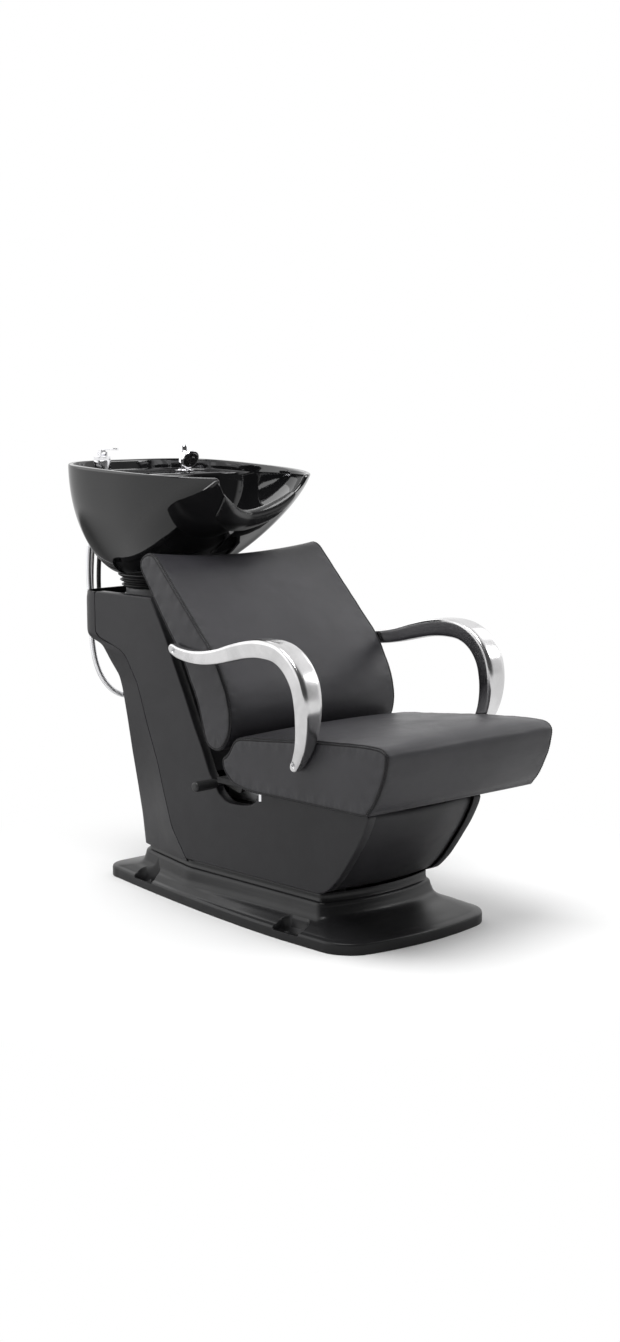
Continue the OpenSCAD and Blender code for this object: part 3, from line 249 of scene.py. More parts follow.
def tube_grid(line: Points, radius: np.ndarray | float, sides: int,
              aside: Sequence = ASIDE) -> Points:
    """Rings round a line: centre + radius (side cos a + up sin a), side being square to line and aside.

    Args:
        line: Rows of centres in metres.
        radius: One radius, or an array (rows, sides).
        sides: Points round each ring.
        aside: A direction that the line never follows.

    Returns:
        Array (rows, sides, 3).
    """
    t = tangents(line)
    side = unit(np.cross(t, np.asarray(aside, float)))
    up = np.cross(t, side)
    a = np.arange(sides) * 2 * math.pi / sides
    r = np.broadcast_to(radius, (len(line), sides))
    ring = side[:, None, :] * np.cos(a)[None, :, None] + up[:, None, :] * np.sin(a)[None, :, None]
    return line[:, None, :] + ring * r[:, :, None]


def revolve(name: str, loop: Sequence, centre: Sequence) -> bpy.types.Object:
    """Turns a closed profile of (radius, height) round a vertical line: (r cos a, r sin a, z) + centre.

    Args:
        name: The object's name.
        loop: Rows of radius and height in mm.
        centre: X, Y, Z in mm.

    Returns:
        The closed piece.
    """
    a = np.arange(TURNED_SIDES) * 2 * math.pi / TURNED_SIDES
    r, z = np.asarray(loop, float).T[:, :, None]
    grid = np.stack([r * np.cos(a), r * np.sin(a), np.repeat(z, TURNED_SIDES, 1)], -1)
    return loft(name, (grid + np.asarray(centre, float)) * MM, wrap_rows=True)


def applied(piece: bpy.types.Object) -> bpy.types.Object:
    """Writes a piece's modifiers into its mesh."""
    bpy.context.view_layer.update()
    seen = piece.evaluated_get(bpy.context.evaluated_depsgraph_get())
    mesh = bpy.data.meshes.new_from_object(seen)
    piece.modifiers.clear()
    piece.data = mesh
    return piece


def even_shade(piece: bpy.types.Object, weight: int, keep_sharp: bool = False) -> bpy.types.Object:
    """Turns the shading of flat faces towards the large ones, by a live modifier."""
    even = piece.modifiers.new("even_shade", "WEIGHTED_NORMAL")
    even.weight = weight
    even.keep_sharp = keep_sharp
    return piece


def finer(piece: bpy.types.Object, levels: int) -> bpy.types.Object:
    """Adds a live subdivision of so many levels."""
    fine = piece.modifiers.new("fine", "SUBSURF")
    fine.levels = fine.render_levels = levels
    return piece


def bevelled(piece: bpy.types.Object, width: float, segments: int, angle: float) -> bpy.types.Object:
    """Rounds the edges sharper than an angle and evens out the shading of flat faces.

    Args:
        piece: The piece.
        width: Width of the rounding in mm.
        segments: Faces across it.
        angle: Least angle of an edge that is rounded, in degrees.

    Returns:
        The same piece.
    """
    mod = piece.modifiers.new("rounding", "BEVEL")
    mod.width = width * MM
    mod.segments = segments
    mod.limit_method = "ANGLE"
    mod.angle_limit = math.radians(angle)
    mod.use_clamp_overlap = True
    return even_shade(piece, 80, True)


def cut(piece: bpy.types.Object, tools: Sequence[bpy.types.Object]) -> bpy.types.Object:
    """Takes closed tools away from a closed piece, then deletes the tools."""
    for tool in tools:
        mod = piece.modifiers.new("cut", "BOOLEAN")
        mod.operation = "DIFFERENCE"
        mod.solver = "MANIFOLD"
        mod.object = tool
    applied(piece)
    for tool in tools:
        bpy.data.objects.remove(tool)
    return piece


def rod(name: str, start: Sequence, end: Sequence, radius: float) -> bpy.types.Object:
    """A closed round rod between two points, all in mm."""
    line = np.array([start, end], float) * MM
    aside = (0.3, 0.2, 1) if abs(line[1, 2] - line[0, 2]) < 1e-6 else (1, 0.2, 0)
    return loft(name, tube_grid(line, radius * MM, ROD_SIDES, aside))


def coords(piece: bpy.types.Object) -> Points:
    """A mesh's points as an array."""
    out = np.empty(len(piece.data.vertices) * 3)
    piece.data.vertices.foreach_get("co", out)
    return out.reshape(-1, 3)


def put_coords(piece: bpy.types.Object, points: Points) -> None:
    """Writes a mesh's points."""
    piece.data.vertices.foreach_set("co", np.asarray(points, np.float32).ravel())
    piece.data.update()


def vertex_normals(piece: bpy.types.Object) -> Points:
    """A mesh's point normals as an array."""
    out = np.empty(len(piece.data.vertices) * 3, np.float32)
    piece.data.vertex_normals.foreach_get("vector", out)
    return out.reshape(-1, 3).astype(float)


def evened(piece: bpy.types.Object, field: Points, rounds: int) -> Points:
    """Averages a field of vectors with the neighbours' mean, again and again, so only broad forms stay."""
    ends = np.empty(len(piece.data.edges) * 2, int)
    piece.data.edges.foreach_get("vertices", ends)
    a, b = ends.reshape(-1, 2).T
    count = np.bincount(a, minlength=len(field)) + np.bincount(b, minlength=len(field))
    for _ in range(rounds):
        mean = np.stack([np.bincount(a, field[b, k], len(field)) + np.bincount(b, field[a, k], len(field))
                         for k in range(3)], 1) / np.maximum(count, 1)[:, None]
        field = 0.5 * field + 0.5 * mean
    return field


def nearest(points: Points, line: Points) -> tuple[np.ndarray, np.ndarray]:
    """Distance from each point to the nearest row of a line, and that row's number."""
    best = np.full(len(points), np.inf)
    index = np.zeros(len(points), int)
    for first in range(0, len(points), 4000):
        part = points[first:first + 4000]
        square = (part**2).sum(1)[:, None] + (line**2).sum(1)[None] - 2 * part @ line.T
        index[first:first + 4000] = square.argmin(1)
        best[first:first + 4000] = np.sqrt(np.maximum(square.min(1), 0))
    return best, index


def distance_to_line(points: Points, line: Points) -> np.ndarray:
    """Distance in a plane from each point to a polyline."""
    return nearest(points, spaced(line, 3.0))[0]


# ---------------------------------------------------------------- finishes

class Sheet:
    """Adds and joins nodes in one node tree."""

    def __init__(self, tree: bpy.types.NodeTree) -> None:
        """Takes the tree to write in."""
        self.tree = tree

    def add(self, kind: str, inputs: dict | None = None, **settings: object) -> bpy.types.Node:
        """Adds a node.

        Args:
            kind: Blender's type name without its ShaderNode part.
            inputs: Values or output sockets for named or numbered inputs.
            **settings: Attributes of the node.

        Returns:
            The node.
        """
        node = self.tree.nodes.new(kind if kind.startswith("Node") else "ShaderNode" + kind)
        for key, value in settings.items():
            setattr(node, key, value)
        for key, value in (inputs or {}).items():
            if isinstance(value, bpy.types.NodeSocket):
                self.tree.links.new(value, node.inputs[key])
            else:
                node.inputs[key].default_value = value
        return node

    def maths(self, operation: str, a: object, b: object = 0.0, c: object = 0.0) -> bpy.types.NodeSocket:
        """Adds a Math node and returns its output."""
        return self.add("Math", {0: a, 1: b, 2: c}, operation=operation).outputs[0]

    def ramp(self, value: object, low: float, high: float) -> bpy.types.NodeSocket:
        """Rises smoothly from 0 at low to 1 at high."""
        return self.add("MapRange", {0: value, 1: low, 2: high}, interpolation_type="SMOOTHSTEP").outputs[0]

    def noise(self, place: object, scale: object, detail: float, **more: float) -> bpy.types.NodeSocket:
        """Adds a noise texture and returns its value."""
        inputs = {"Vector": place, "Scale": scale, "Detail": detail, **more}
        return self.add("TexNoise", inputs).outputs["Fac"]

    def vectors(self, operation: str, a: object, b: object, output: str = "Vector") -> bpy.types.NodeSocket:
        """Adds a Vector Math node and returns an output; b is the factor of a scaling."""
        second = "Scale" if operation == "SCALE" else 1
        return self.add("VectorMath", {0: a, second: b}, operation=operation).outputs[output]

    def mixed(self, share: object, a: object, b: object) -> bpy.types.NodeSocket:
        """Mixes two colours."""
        return self.add("Mix", {0: share, 6: a, 7: b}, data_type="RGBA").outputs[2]

    def use(self, group: bpy.types.NodeTree, **inputs: object) -> bpy.types.NodeSocket:
        """Adds a node group and returns its one output."""
        return self.add("Group", inputs, node_tree=group).outputs[0]


def blank(holder: bpy.types.Material | bpy.types.World) -> Sheet:
    """Empties the node tree of a material or world and returns a sheet on it."""
    holder.use_nodes = True
    holder.node_tree.nodes.clear()
    return Sheet(holder.node_tree)


def effect(fill: Callable[[Sheet, bpy.types.bpy_prop_collection], bpy.types.NodeSocket], output: str,
           **inputs: float | None) -> bpy.types.NodeTree:
    """Makes a shader node group with one output; its first input, Place, is the point that is dressed.

    Args:
        fill: Writes the nodes from the group's input sockets and returns the output's value.
        output: Name of the output.
        **inputs: Defaults of the other inputs; None for a vector.

    Returns:
        The group.
    """
    group = bpy.data.node_groups.new(fill.__name__, "ShaderNodeTree")
    for key, value in {"Place": None, **inputs}.items():
        kind = "NodeSocketVector" if value is None else "NodeSocketFloat"
        socket = group.interface.new_socket(key, in_out="INPUT", socket_type=kind)
        if value is not None:
            socket.default_value = value
    group.interface.new_socket(output, in_out="OUTPUT", socket_type="NodeSocketFloat")
    sheet = Sheet(group)
    sheet.add("NodeGroupOutput", {output: fill(sheet, sheet.add("NodeGroupInput").outputs)})
    return group


def hide_grain(sheet: Sheet, given: bpy.types.bpy_prop_collection) -> bpy.types.NodeSocket:
    """Pebbled hide: rounded cells of two sizes parted by fine creases, with slow swells under them."""
    soft = sheet.add("TexNoise", {"Vector": given["Place"], "Scale": 160.0, "Detail": 2.0}).outputs["Color"]
    place = sheet.vectors("ADD", given["Place"], sheet.vectors("SCALE", soft, 0.0016))
    cells = sheet.add("TexVoronoi", {"Vector": place, "Scale": given["Scale"], "Randomness": 0.9},
                      feature="DISTANCE_TO_EDGE").outputs["Distance"]
    finer_scale = sheet.maths("MULTIPLY", given["Scale"], 2.3)
    fine = sheet.add("TexVoronoi", {"Vector": place, "Scale": finer_scale},
                     feature="DISTANCE_TO_EDGE").outputs["Distance"]
    large = sheet.maths("MULTIPLY", sheet.ramp(cells, 0.0, 0.22), 0.65)
    return sheet.maths("MULTIPLY_ADD", sheet.ramp(fine, 0.0, 0.25), 0.35, large)


def moulded_grain(sheet: Sheet, given: bpy.types.bpy_prop_collection) -> bpy.types.NodeSocket:
    """Spark-eroded mould texture: fine noise."""
    return sheet.ramp(sheet.noise(given["Place"], given["Scale"], 3.0, Roughness=0.6), 0.3, 0.7)


def slow_change(sheet: Sheet, given: bpy.types.bpy_prop_collection) -> bpy.types.NodeSocket:
    """A value that drifts between Low and High over the surface, with a little fine breakup."""
    broad = sheet.noise(given["Place"], given["Scale"], 4.0, Roughness=0.62, Distortion=0.4)
    return sheet.add("MapRange", {0: broad, 1: 0.32, 2: 0.68, 3: given["Low"], 4: given["High"]},
                     interpolation_type="SMOOTHSTEP").outputs[0]


def edge_wear(sheet: Sheet, given: bpy.types.bpy_prop_collection) -> bpy.types.NodeSocket:
    """A mask of the rubbed outer edges: where the surface turns sharply outwards, broken by noise."""
    sharp = sheet.ramp(sheet.add("NewGeometry").outputs["Pointiness"], 0.515, 0.6)
    broken = sheet.ramp(sheet.noise(given["Place"], 55.0, 5.0), 0.36, 0.66)
    return sheet.maths("MULTIPLY", sheet.maths("MULTIPLY", sharp, broken), given["Amount"])


def settled_dust(sheet: Sheet, given: bpy.types.bpy_prop_collection) -> bpy.types.NodeSocket:
    """A faint mask on faces that look up, patchy, for dust and wiping marks."""
    up = sheet.add("SeparateXYZ", {0: sheet.add("NewGeometry").outputs["Normal"]}).outputs["Z"]
    patch = sheet.ramp(sheet.noise(given["Place"], 9.0, 6.0, Roughness=0.7), 0.4, 0.8)
    return sheet.maths("MULTIPLY", sheet.maths("MULTIPLY", sheet.ramp(up, 0.35, 1.0), patch), given["Amount"])


def drawn_lines(sheet: Sheet, given: bpy.types.bpy_prop_collection) -> bpy.types.NodeSocket:
    """Fine lines left by polishing or drawing: noise stretched along one axis."""
    thin = sheet.vectors("MULTIPLY", given["Place"], given["Stretch"])
    return sheet.noise(thin, given["Scale"], 5.0, Roughness=0.75)


def crossed_strands(sheet: Sheet, given: bpy.types.bpy_prop_collection) -> bpy.types.NodeSocket:
    """A braid on the piece's UV map: two sets of slanting strands that pass over each other."""
    uv = sheet.add("SeparateXYZ", {0: given["Place"]}).outputs
    along = sheet.maths("MULTIPLY", uv["X"], given["Turns"])
    about = sheet.maths("MULTIPLY", uv["Y"], given["Strands"])
    one, two = (sheet.maths("SINE", sheet.maths("MULTIPLY", sheet.maths(way, along, about), 2 * math.pi))
                for way in ("ADD", "SUBTRACT"))
    return sheet.ramp(sheet.maths("MAXIMUM", one, two), -0.6, 1.0)


class Effects:
    """The shared node groups, each made once."""

    def __init__(self) -> None:
        """Makes every group."""
        self.hide = effect(hide_grain, "Height", Scale=620.0)
        self.mould = effect(moulded_grain, "Height", Scale=1400.0)
        self.drift = effect(slow_change, "Value", Scale=5.0, Low=0.3, High=0.5)
        self.wear = effect(edge_wear, "Mask", Amount=0.5)
        self.dust = effect(settled_dust, "Mask", Amount=0.2)
        self.lines = effect(drawn_lines, "Height", Scale=60.0, Stretch=None)
        self.braid = effect(crossed_strands, "Height", Turns=90.0, Strands=6.0)


DUST = (0.32, 0.31, 0.3, 1)
DUST_ROUGHNESS = 0.3
TONE_RANGE = (0.9, 1.08)
TONE_SCALE = 1.7
SWELL_SCALE = 14.0
BRAID_STRANDS = 6.0


class Texture(Enum):
    """Which fine relief a finish has."""

    HIDE = "hide"
    MOULD = "mould"
    LINES = "lines"
    BRAID = "braid"
    WEAVE = "weave"


@dataclass(frozen=True)
class Finish:
    """One finish: its colours, gloss and fine relief, with relief heights in millimetres."""

    slot: str
    colour: tuple[float, float, float]
    worn: tuple[float, float, float]
    gloss_low: float
    gloss_high: float
    texture: Texture
    scale: float
    relief: float
    metallic: float = 0.0
    wear: float = 0.3
    dust: float = 0.0
    patch: float = 6.0
    stretch: tuple[float, float, float] = (1.0, 1.0, 1.0)
    swell: float = 0.0
    specular: float = 0.5

    def material(self, effects: Effects, name: str = "") -> bpy.types.Material:
        """Builds the node material.

        Args:
            effects: The shared node groups.
            name: Name of the material; the slot's name if empty.

        Returns:
            The material.
        """
        made = bpy.data.materials.new(name or self.slot)
        sheet = blank(made)
        where = sheet.add("TexCoord").outputs["Object"]
        wear = sheet.use(effects.wear, Place=where, Amount=self.wear)
        dust = sheet.use(effects.dust, Place=where, Amount=self.dust)
        tone = sheet.use(effects.drift, Place=where, Scale=self.patch * TONE_SCALE,
                         Low=TONE_RANGE[0], High=TONE_RANGE[1])
        gloss = sheet.use(effects.drift, Place=where, Scale=self.patch,
                          Low=self.gloss_low, High=self.gloss_high)
        worn = sheet.mixed(wear, sheet.vectors("SCALE", self.colour, tone), (*self.worn, 1))
        if self.texture is Texture.BRAID:
            where = sheet.add("UVMap", uv_map="along").outputs["UV"]
        relief = {"Height": self._relief(sheet, effects, where), "Strength": 1.0,
                  "Distance": self.relief * MM}
        if self.swell:
            broad = sheet.noise(where, SWELL_SCALE, 2.0, Roughness=0.45)
            relief["Normal"] = sheet.add("Bump", {"Height": broad, "Strength": 1.0,
                                                  "Distance": self.swell * MM}).outputs[0]
        shader = sheet.add("BsdfPrincipled", {
            "Base Color": sheet.mixed(dust, worn, DUST), "Metallic": self.metallic,
            "Roughness": sheet.maths("MULTIPLY_ADD", dust, DUST_ROUGHNESS, gloss),
            "Specular IOR Level": self.specular, "Normal": sheet.add("Bump", relief).outputs[0]})
        sheet.add("OutputMaterial", {"Surface": shader.outputs[0]})
        return made

    def _relief(self, sheet: Sheet, effects: Effects,
                where: bpy.types.NodeSocket) -> bpy.types.NodeSocket:
        """Returns the height of this finish's fine relief."""
        if self.texture is Texture.WEAVE:
            warp, weft = (sheet.add("TexWave", {"Vector": where, "Scale": self.scale},
                                    bands_direction=way).outputs["Fac"] for way in "XY")
            return sheet.maths("MAXIMUM", warp, weft)
        if self.texture is Texture.LINES:
            return sheet.use(effects.lines, Place=where, Scale=self.scale, Stretch=self.stretch)
        if self.texture is Texture.BRAID:
            return sheet.use(effects.braid, Place=where, Turns=self.scale, Strands=BRAID_STRANDS)
        group = effects.hide if self.texture is Texture.HIDE else effects.mould
        return sheet.use(group, Place=where, Scale=self.scale)


FINISHES = [
    Finish("stand_plastic", (0.0235, 0.023, 0.0255), (0.07, 0.07, 0.074), 0.34, 0.44, Texture.MOULD,
           1500, 0.035, wear=0.35, dust=0.05, specular=0.3),
    Finish("leatherette", (0.0265, 0.0258, 0.0298), (0.055, 0.054, 0.06), 0.36, 0.46, Texture.HIDE,
           640, 0.075, wear=0.3, dust=0.03, swell=0.9, specular=0.42),
    Finish("polished_alloy", (0.68, 0.675, 0.68), (0.78, 0.78, 0.78), 0.14, 0.22, Texture.LINES,
           90, 0.008, metallic=1.0, stretch=(1, 0.2, 8), wear=0.3),
    Finish("chrome", (0.86, 0.86, 0.88), (0.9, 0.9, 0.9), 0.04, 0.09, Texture.MOULD,
           300, 0.003, metallic=1.0, wear=0.2),
    Finish("black_steel", (0.028, 0.028, 0.028), (0.12, 0.12, 0.12), 0.42, 0.58, Texture.MOULD,
           700, 0.05, wear=0.5, dust=0.06),
    Finish("zinc_steel", (0.5, 0.5, 0.51), (0.66, 0.66, 0.66), 0.28, 0.44, Texture.MOULD,
           420, 0.02, metallic=1.0, patch=60, wear=0.4),
    Finish("runner_alloy", (0.55, 0.55, 0.56), (0.7, 0.7, 0.7), 0.26, 0.4, Texture.LINES,
           120, 0.02, metallic=1.0, stretch=(12, 0.3, 12)),
    Finish("glaze", (0.006, 0.006, 0.0065), (0.01, 0.01, 0.01), 0.025, 0.06, Texture.MOULD,
           38, 0.03, wear=0.0, swell=0.12, specular=0.6),
    Finish("rubber", (0.018, 0.018, 0.019), (0.05, 0.05, 0.05), 0.42, 0.55, Texture.MOULD,
           900, 0.03, wear=0.4, dust=0.05),
    Finish("collar_plastic", (0.36, 0.36, 0.37), (0.5, 0.5, 0.5), 0.3, 0.42, Texture.MOULD,
           1200, 0.03, dust=0.1),
    Finish("pipe_plastic", (0.7, 0.7, 0.69), (0.78, 0.78, 0.77), 0.3, 0.4, Texture.MOULD,
           900, 0.02, dust=0.2),
    Finish("board", (0.022, 0.022, 0.023), (0.05, 0.05, 0.05), 0.75, 0.9, Texture.WEAVE,
           420, 0.15, dust=0.1),
    Finish("gloss_black", (0.012, 0.012, 0.013), (0.03, 0.03, 0.03), 0.12, 0.2, Texture.MOULD, 900, 0.01),
    Finish("steel_braid", (0.58, 0.56, 0.55), (0.7, 0.7, 0.7), 0.28, 0.42, Texture.BRAID,
           130, 0.5, metallic=1.0),
    Finish("black_braid", (0.025, 0.025, 0.026), (0.06, 0.06, 0.06), 0.45, 0.6, Texture.BRAID, 130, 0.5),
]
THREAD = Finish("leatherette", (0.045, 0.044, 0.048), (0.1, 0.1, 0.1), 0.45, 0.6, Texture.LINES,
                400, 0.08, stretch=(3, 1, 3), wear=0.2, specular=0.3)
# The welt's leather is far darker than the cover's: painted shade for the dark line along each seam's groove.
SEAM_PAINTED_SHADE = Finish("leatherette", (0.008, 0.0078, 0.0088), (0.03, 0.029, 0.032), 0.4, 0.5, Texture.HIDE,
                      640, 0.06, wear=0.2, specular=0.22)
# The base is the stand's plastic made darker: painted shade on the low base. It also has no wear or dust and
# less relief.
BASE_SHADED_PLASTIC = Finish("stand_plastic", (0.016, 0.016, 0.017), (0.06, 0.06, 0.062), 0.28, 0.37,
                      Texture.MOULD, 1500, 0.01, wear=0.0, dust=0.0, specular=0.28)
NECK_RUBBER = Finish("rubber", (0.012, 0.012, 0.0125), (0.035, 0.035, 0.035), 0.2, 0.3, Texture.MOULD,
                     900, 0.02, wear=0.2)


class Dresser:
    """Gives pieces their finish, hangs them on their bodies and hides the CAD nodes they replace."""

    def __init__(self) -> None:
        """Builds every finish."""
        effects = Effects()
        self.of_slot = {f.slot: f.material(effects) for f in FINISHES}
        self.thread = THREAD.material(effects, "thread")
        # The welt's darker leather: painted shade along the seams.
        self.seam = SEAM_PAINTED_SHADE.material(effects, "seam_painted_shade")
        self.base = BASE_SHADED_PLASTIC.material(effects, "base_shaded_plastic")
        self.neck = NECK_RUBBER.material(effects, "neck_rubber")
        self.count = 0

    def hand(self, piece: bpy.types.Object, *nodes: str, body: str = "", slot: str = "",
             material: bpy.types.Material | None = None, bend: tuple = ()) -> bpy.types.Object:
        """Dresses a piece, lets it ride on its body unless bend is given, and hides the CAD nodes it stands
        for.

        Args:
            piece: The finished piece.
            *nodes: CAD nodes that it replaces; the first gives body and slot unless they are given.
            body: Body it rides on.
            slot: Material slot of the record.
            material: Another material than the slot's.
            bend: For a piece that bends between two bodies: both bodies, start and end in metres. Only
                whether it is given is read, and such a piece is baked in place and rides on no body.

        Returns:
            The piece.
        """
        body = body or BODY_OF[nodes[0]]
        slot = slot or SLOT_OF[nodes[0]]
        piece.data.materials.clear()
        piece.data.materials.append(material or self.of_slot[slot])
        if bend:
            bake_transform(piece)
        else:
            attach(piece, body)
        if nodes:
            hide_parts(*nodes)
        self.count += 1
        LOG.info("%s on %s, %d faces", piece.name, body, len(piece.data.polygons))
        return piece

    def kept(self) -> None:
        """Gives every CAD node that still shows the finish of its slot."""
        for name, node in frame["nodes"].items():
            node.data.materials.clear()
            node.data.materials.append(self.of_slot[SLOT_OF[name]])

    def refined(self, node: str, width: float, angle: float = 30) -> None:
        """Stands a merged copy of a CAD node with rounded edges in the node's place.

        Args:
            node: The CAD node.
            width: Rounding in mm.
            angle: Least angle of a rounded edge in degrees.
        """
        mesh = frame["nodes"][node].data.copy()
        bm = bmesh.new()
        bm.from_mesh(mesh)
        bmesh.ops.remove_doubles(bm, verts=bm.verts, dist=2e-6)
        bmesh.ops.dissolve_limit(bm, angle_limit=math.radians(0.6), verts=bm.verts, edges=bm.edges)
        bm.to_mesh(mesh)
        bm.free()
        mesh.shade_smooth()
        piece = bpy.data.objects.new(node + "_finished", mesh)
        bpy.context.scene.collection.objects.link(piece)
        self.hand(bevelled(piece, width, 2, angle), node)


# ---------------------------------------------------------------- stand

@dataclass
class Stand:
    """Moulded stand: base, side panels, column, covers and head, in millimetres."""

    base_w: float = 462
    base_rear_w: float = 280
    base_front: float = 474
    front_bow: float = 16
    front_top: float = -452
    base_rear: float = 513
    flange_corner: float = 84
    flange_rear_corner: float = 60
    taper_y: float = -250
    half_w: float = 174
    panel_t: float = 22
    neck_top: float = 97
    panel_low: float = 103
    shell_t: float = 5
    gap: float = 0.3
    edge_r: float = 3.2
    seat_z: float = 303
    head_top: float = 707
    bulge: float = 20
    neck_corner: float = 26
    neck_front: float = 318
    neck_bulge: float = 26
    pocket_w: float = 84
    pocket_deep: float = 43
    pocket_stop: float = 141
    pocket_round: float = 20
    pocket_floor: float = 7.2
    pocket_sill: float = 18
    pocket_wall: float = 3.2
    sill_in: float = 8.5
    sill_step: float = 2.5
    pocket_at: tuple[float, float] = (-256, 326)
    hole_r: float = 6.5
    collar_y: float = 454
    collar_z: float = 690
    holes: tuple[tuple[float, float], ...] = ((208, -256), (150, 326))
    column: tuple = ((97, 150, 120, 392, 34), (170, 207, 120, 402, 34), (240, 232, 120, 418, 34),
                     (320, 258, 120, 438, 34), (400, 293, 120, 455, 34), (470, 320, 120, 472, 34),
                     (500, 332, 120, 484, 34), (530, 354, 122, 514, 36), (556, 372, 126, 534, 40),
                     (574, 392, 132, 543, 44), (584, 435, 150, 550, 50), (592, 478, 168, 556, 56),
                     (604, 494, 174, 560, 60), (690, 494, 174, 560, 60), (707, 494, 174, 552, 56))
    slant: tuple = ((278, 707), (242, 655), (212, 604), (186, 553), (156, 498), (120, 427), (91, 375),
                    (66, 324), (45, 297), (32, 279), (13, 266), (-6, 261), (-35, 261), (-70, 265), (-86, 271),
                    (-97, 281), (-103, 296), (-112, 303))
    front: tuple = ((-458, 296), (-453, 280), (-441, 256), (-427, 232), (-409, 206), (-389, 178), (-369, 152),
                    (-347, 129), (-326, 112), (-300, 103))
    _table: np.ndarray = field(init=False, repr=False)

    def __post_init__(self) -> None:
        """Samples the column's sections at every 2 mm of height and softens them."""
        rows = np.array(self.column, float)
        z = np.arange(rows[0, 0], rows[-1, 0] + 0.5, 2.0)
        table = np.stack([z] + [np.interp(z, rows[:, 0], rows[:, k]) for k in range(1, 5)], axis=1)
        table[:, 1:] = softened(table[:, 1:], 3.0, closed=False)
        self._table = table

    def column_at(self, z: np.ndarray | float, k: int) -> np.ndarray:
        """Column k of the section table at height z: 1 side's end, 2 corner X, 3 corner Y, 4 radius."""
        return np.interp(z, self._table[:, 0], self._table[:, k])

    def flange_x(self, y: np.ndarray | float) -> np.ndarray:
        """Half-width of the flange at y: it narrows towards the back with the 1.5th power."""
        t = np.maximum(0, (np.asarray(y, float) - self.taper_y) / (self.base_rear - self.taper_y))
        return self.base_w / 2 - (self.base_w - self.base_rear_w) / 2 * t**1.5

    @staticmethod
    def _half(middle: float, arc: tuple, sides: tuple, rear: Points) -> Points:
        """Joins the front, corner, side and rear stretches of one half outline.

        The front is the parabola y = end - bulge (1 - f^2), which meets the corner's arc at the angle
        where both have one direction; a few rounds find that angle.

        Args:
            middle: Y of the front in the middle plane.
            arc: Centre X, centre Y and radius of the corner.
            sides: X and Y of the side's points.
            rear: The remaining points.

        Returns:
            Rows of X and Y in mm.
        """
        cx, cy, r = arc
        turn = 0.2
        for _ in range(8):
            end_x, end_y = cx + r * math.sin(turn), cy - r * math.cos(turn)
            turn = math.atan(2 * (end_y - middle) / end_x)
        f = np.linspace(0, 1, 19)[:-1]
        front = np.stack([f * end_x, end_y - (end_y - middle) * (1 - f**2)], 1)
        a = np.linspace(turn - math.pi / 2, 0, 19)
        corner = np.stack([cx + r * np.cos(a), cy + r * np.sin(a)], 1)
        return np.vstack([front, corner, np.stack(sides, 1), rear])

    def _side_ends(self) -> tuple[float, float]:
        """Y of the front and the rear end of the flange's side."""
        return (-(self.base_front - self.front_bow - self.flange_corner),
                self.base_rear - self.flange_rear_corner)

    def _marks(self) -> np.ndarray:
        """Shares of the flange's side, dense where a pocket's walls are."""
        y0, y1 = self._side_ends()
        marks = [np.arange(round(y0), y1, 12.0)]
        reach = self.pocket_w / 2 + 36
        marks += [np.arange(y - reach, y + reach, 1.5) for y in self.pocket_at]
        t = (np.unique(np.round(np.concatenate(marks), 1)) - y0) / (y1 - y0)
        return t[(t > 0.004) & (t < 0.996)]

    def flange_half(self, d: float) -> Points:
        """Half of the flange's outline, front middle to back middle, drawn in by d."""
        xf = self.base_w / 2 - self.flange_corner
        y0, yr = self._side_ends()
        xr = float(self.flange_x(yr)) - self.flange_rear_corner
        y = y0 + (yr - y0) * self._marks()
        a = np.radians(np.linspace(0, 90, 13))
        r = self.flange_rear_corner - d
        rear = np.stack([xr + r * np.cos(a), yr + r * np.sin(a)], 1)
        back = np.stack([xr * np.linspace(1, 0, 6)[1:], np.full(5, self.base_rear - d)], 1)
        return self._half(d - self.base_front, (xf, y0, self.flange_corner - d),
                          (self.flange_x(y) - d, y), np.vstack([rear, back]))

    def neck_half(self, d: float) -> Points:
        """Half of the base's top outline with the same number of points, drawn in by d."""
        z = self.neck_top
        ya, xb, yb, rc = (float(self.column_at(z, k)) for k in (1, 2, 3, 4))
        xf, y0, y1 = self.half_w - self.neck_corner, -(self.neck_front - self.neck_corner), yb - rc
        low, high = self._side_ends()
        y = np.interp(low + (high - low) * self._marks(),
                      [low, y0 + 30, y1 - 30, high], [y0, y0 + 30, y1 - 30, y1])
        *x, corner_x = np.interp([*y, y1], [ya, yb], [self.half_w, xb])
        rear_x = xb - rc
        bend = bent(np.array([corner_x - d, y1]), np.array([xb - d, yb - d]), np.array([rear_x, yb + 2 - d]),
                    np.linspace(0, 1, 13)[:, None])
        f = np.linspace(1, 0, 6)[1:]
        back = np.stack([rear_x * f, yb + 8 - d - 6 * f**2], 1)
        return self._half(d - self.neck_front - self.neck_bulge, (xf, y0, self.neck_corner - d),
                          (np.array(x) - d, y), np.vstack([bend, back]))

    def base_rings(self, levels: Points) -> Points:
        """Rings at rows of height, blend from flange to neck, and draw-in."""
        rings = []
        for z, blend, d in levels:
            half = self.flange_half(d) * (1 - blend) + self.neck_half(d) * blend
            rings.append(at_height(np.vstack([half, half[-2:0:-1] * [-1, 1]]), z))
        return np.array(rings)

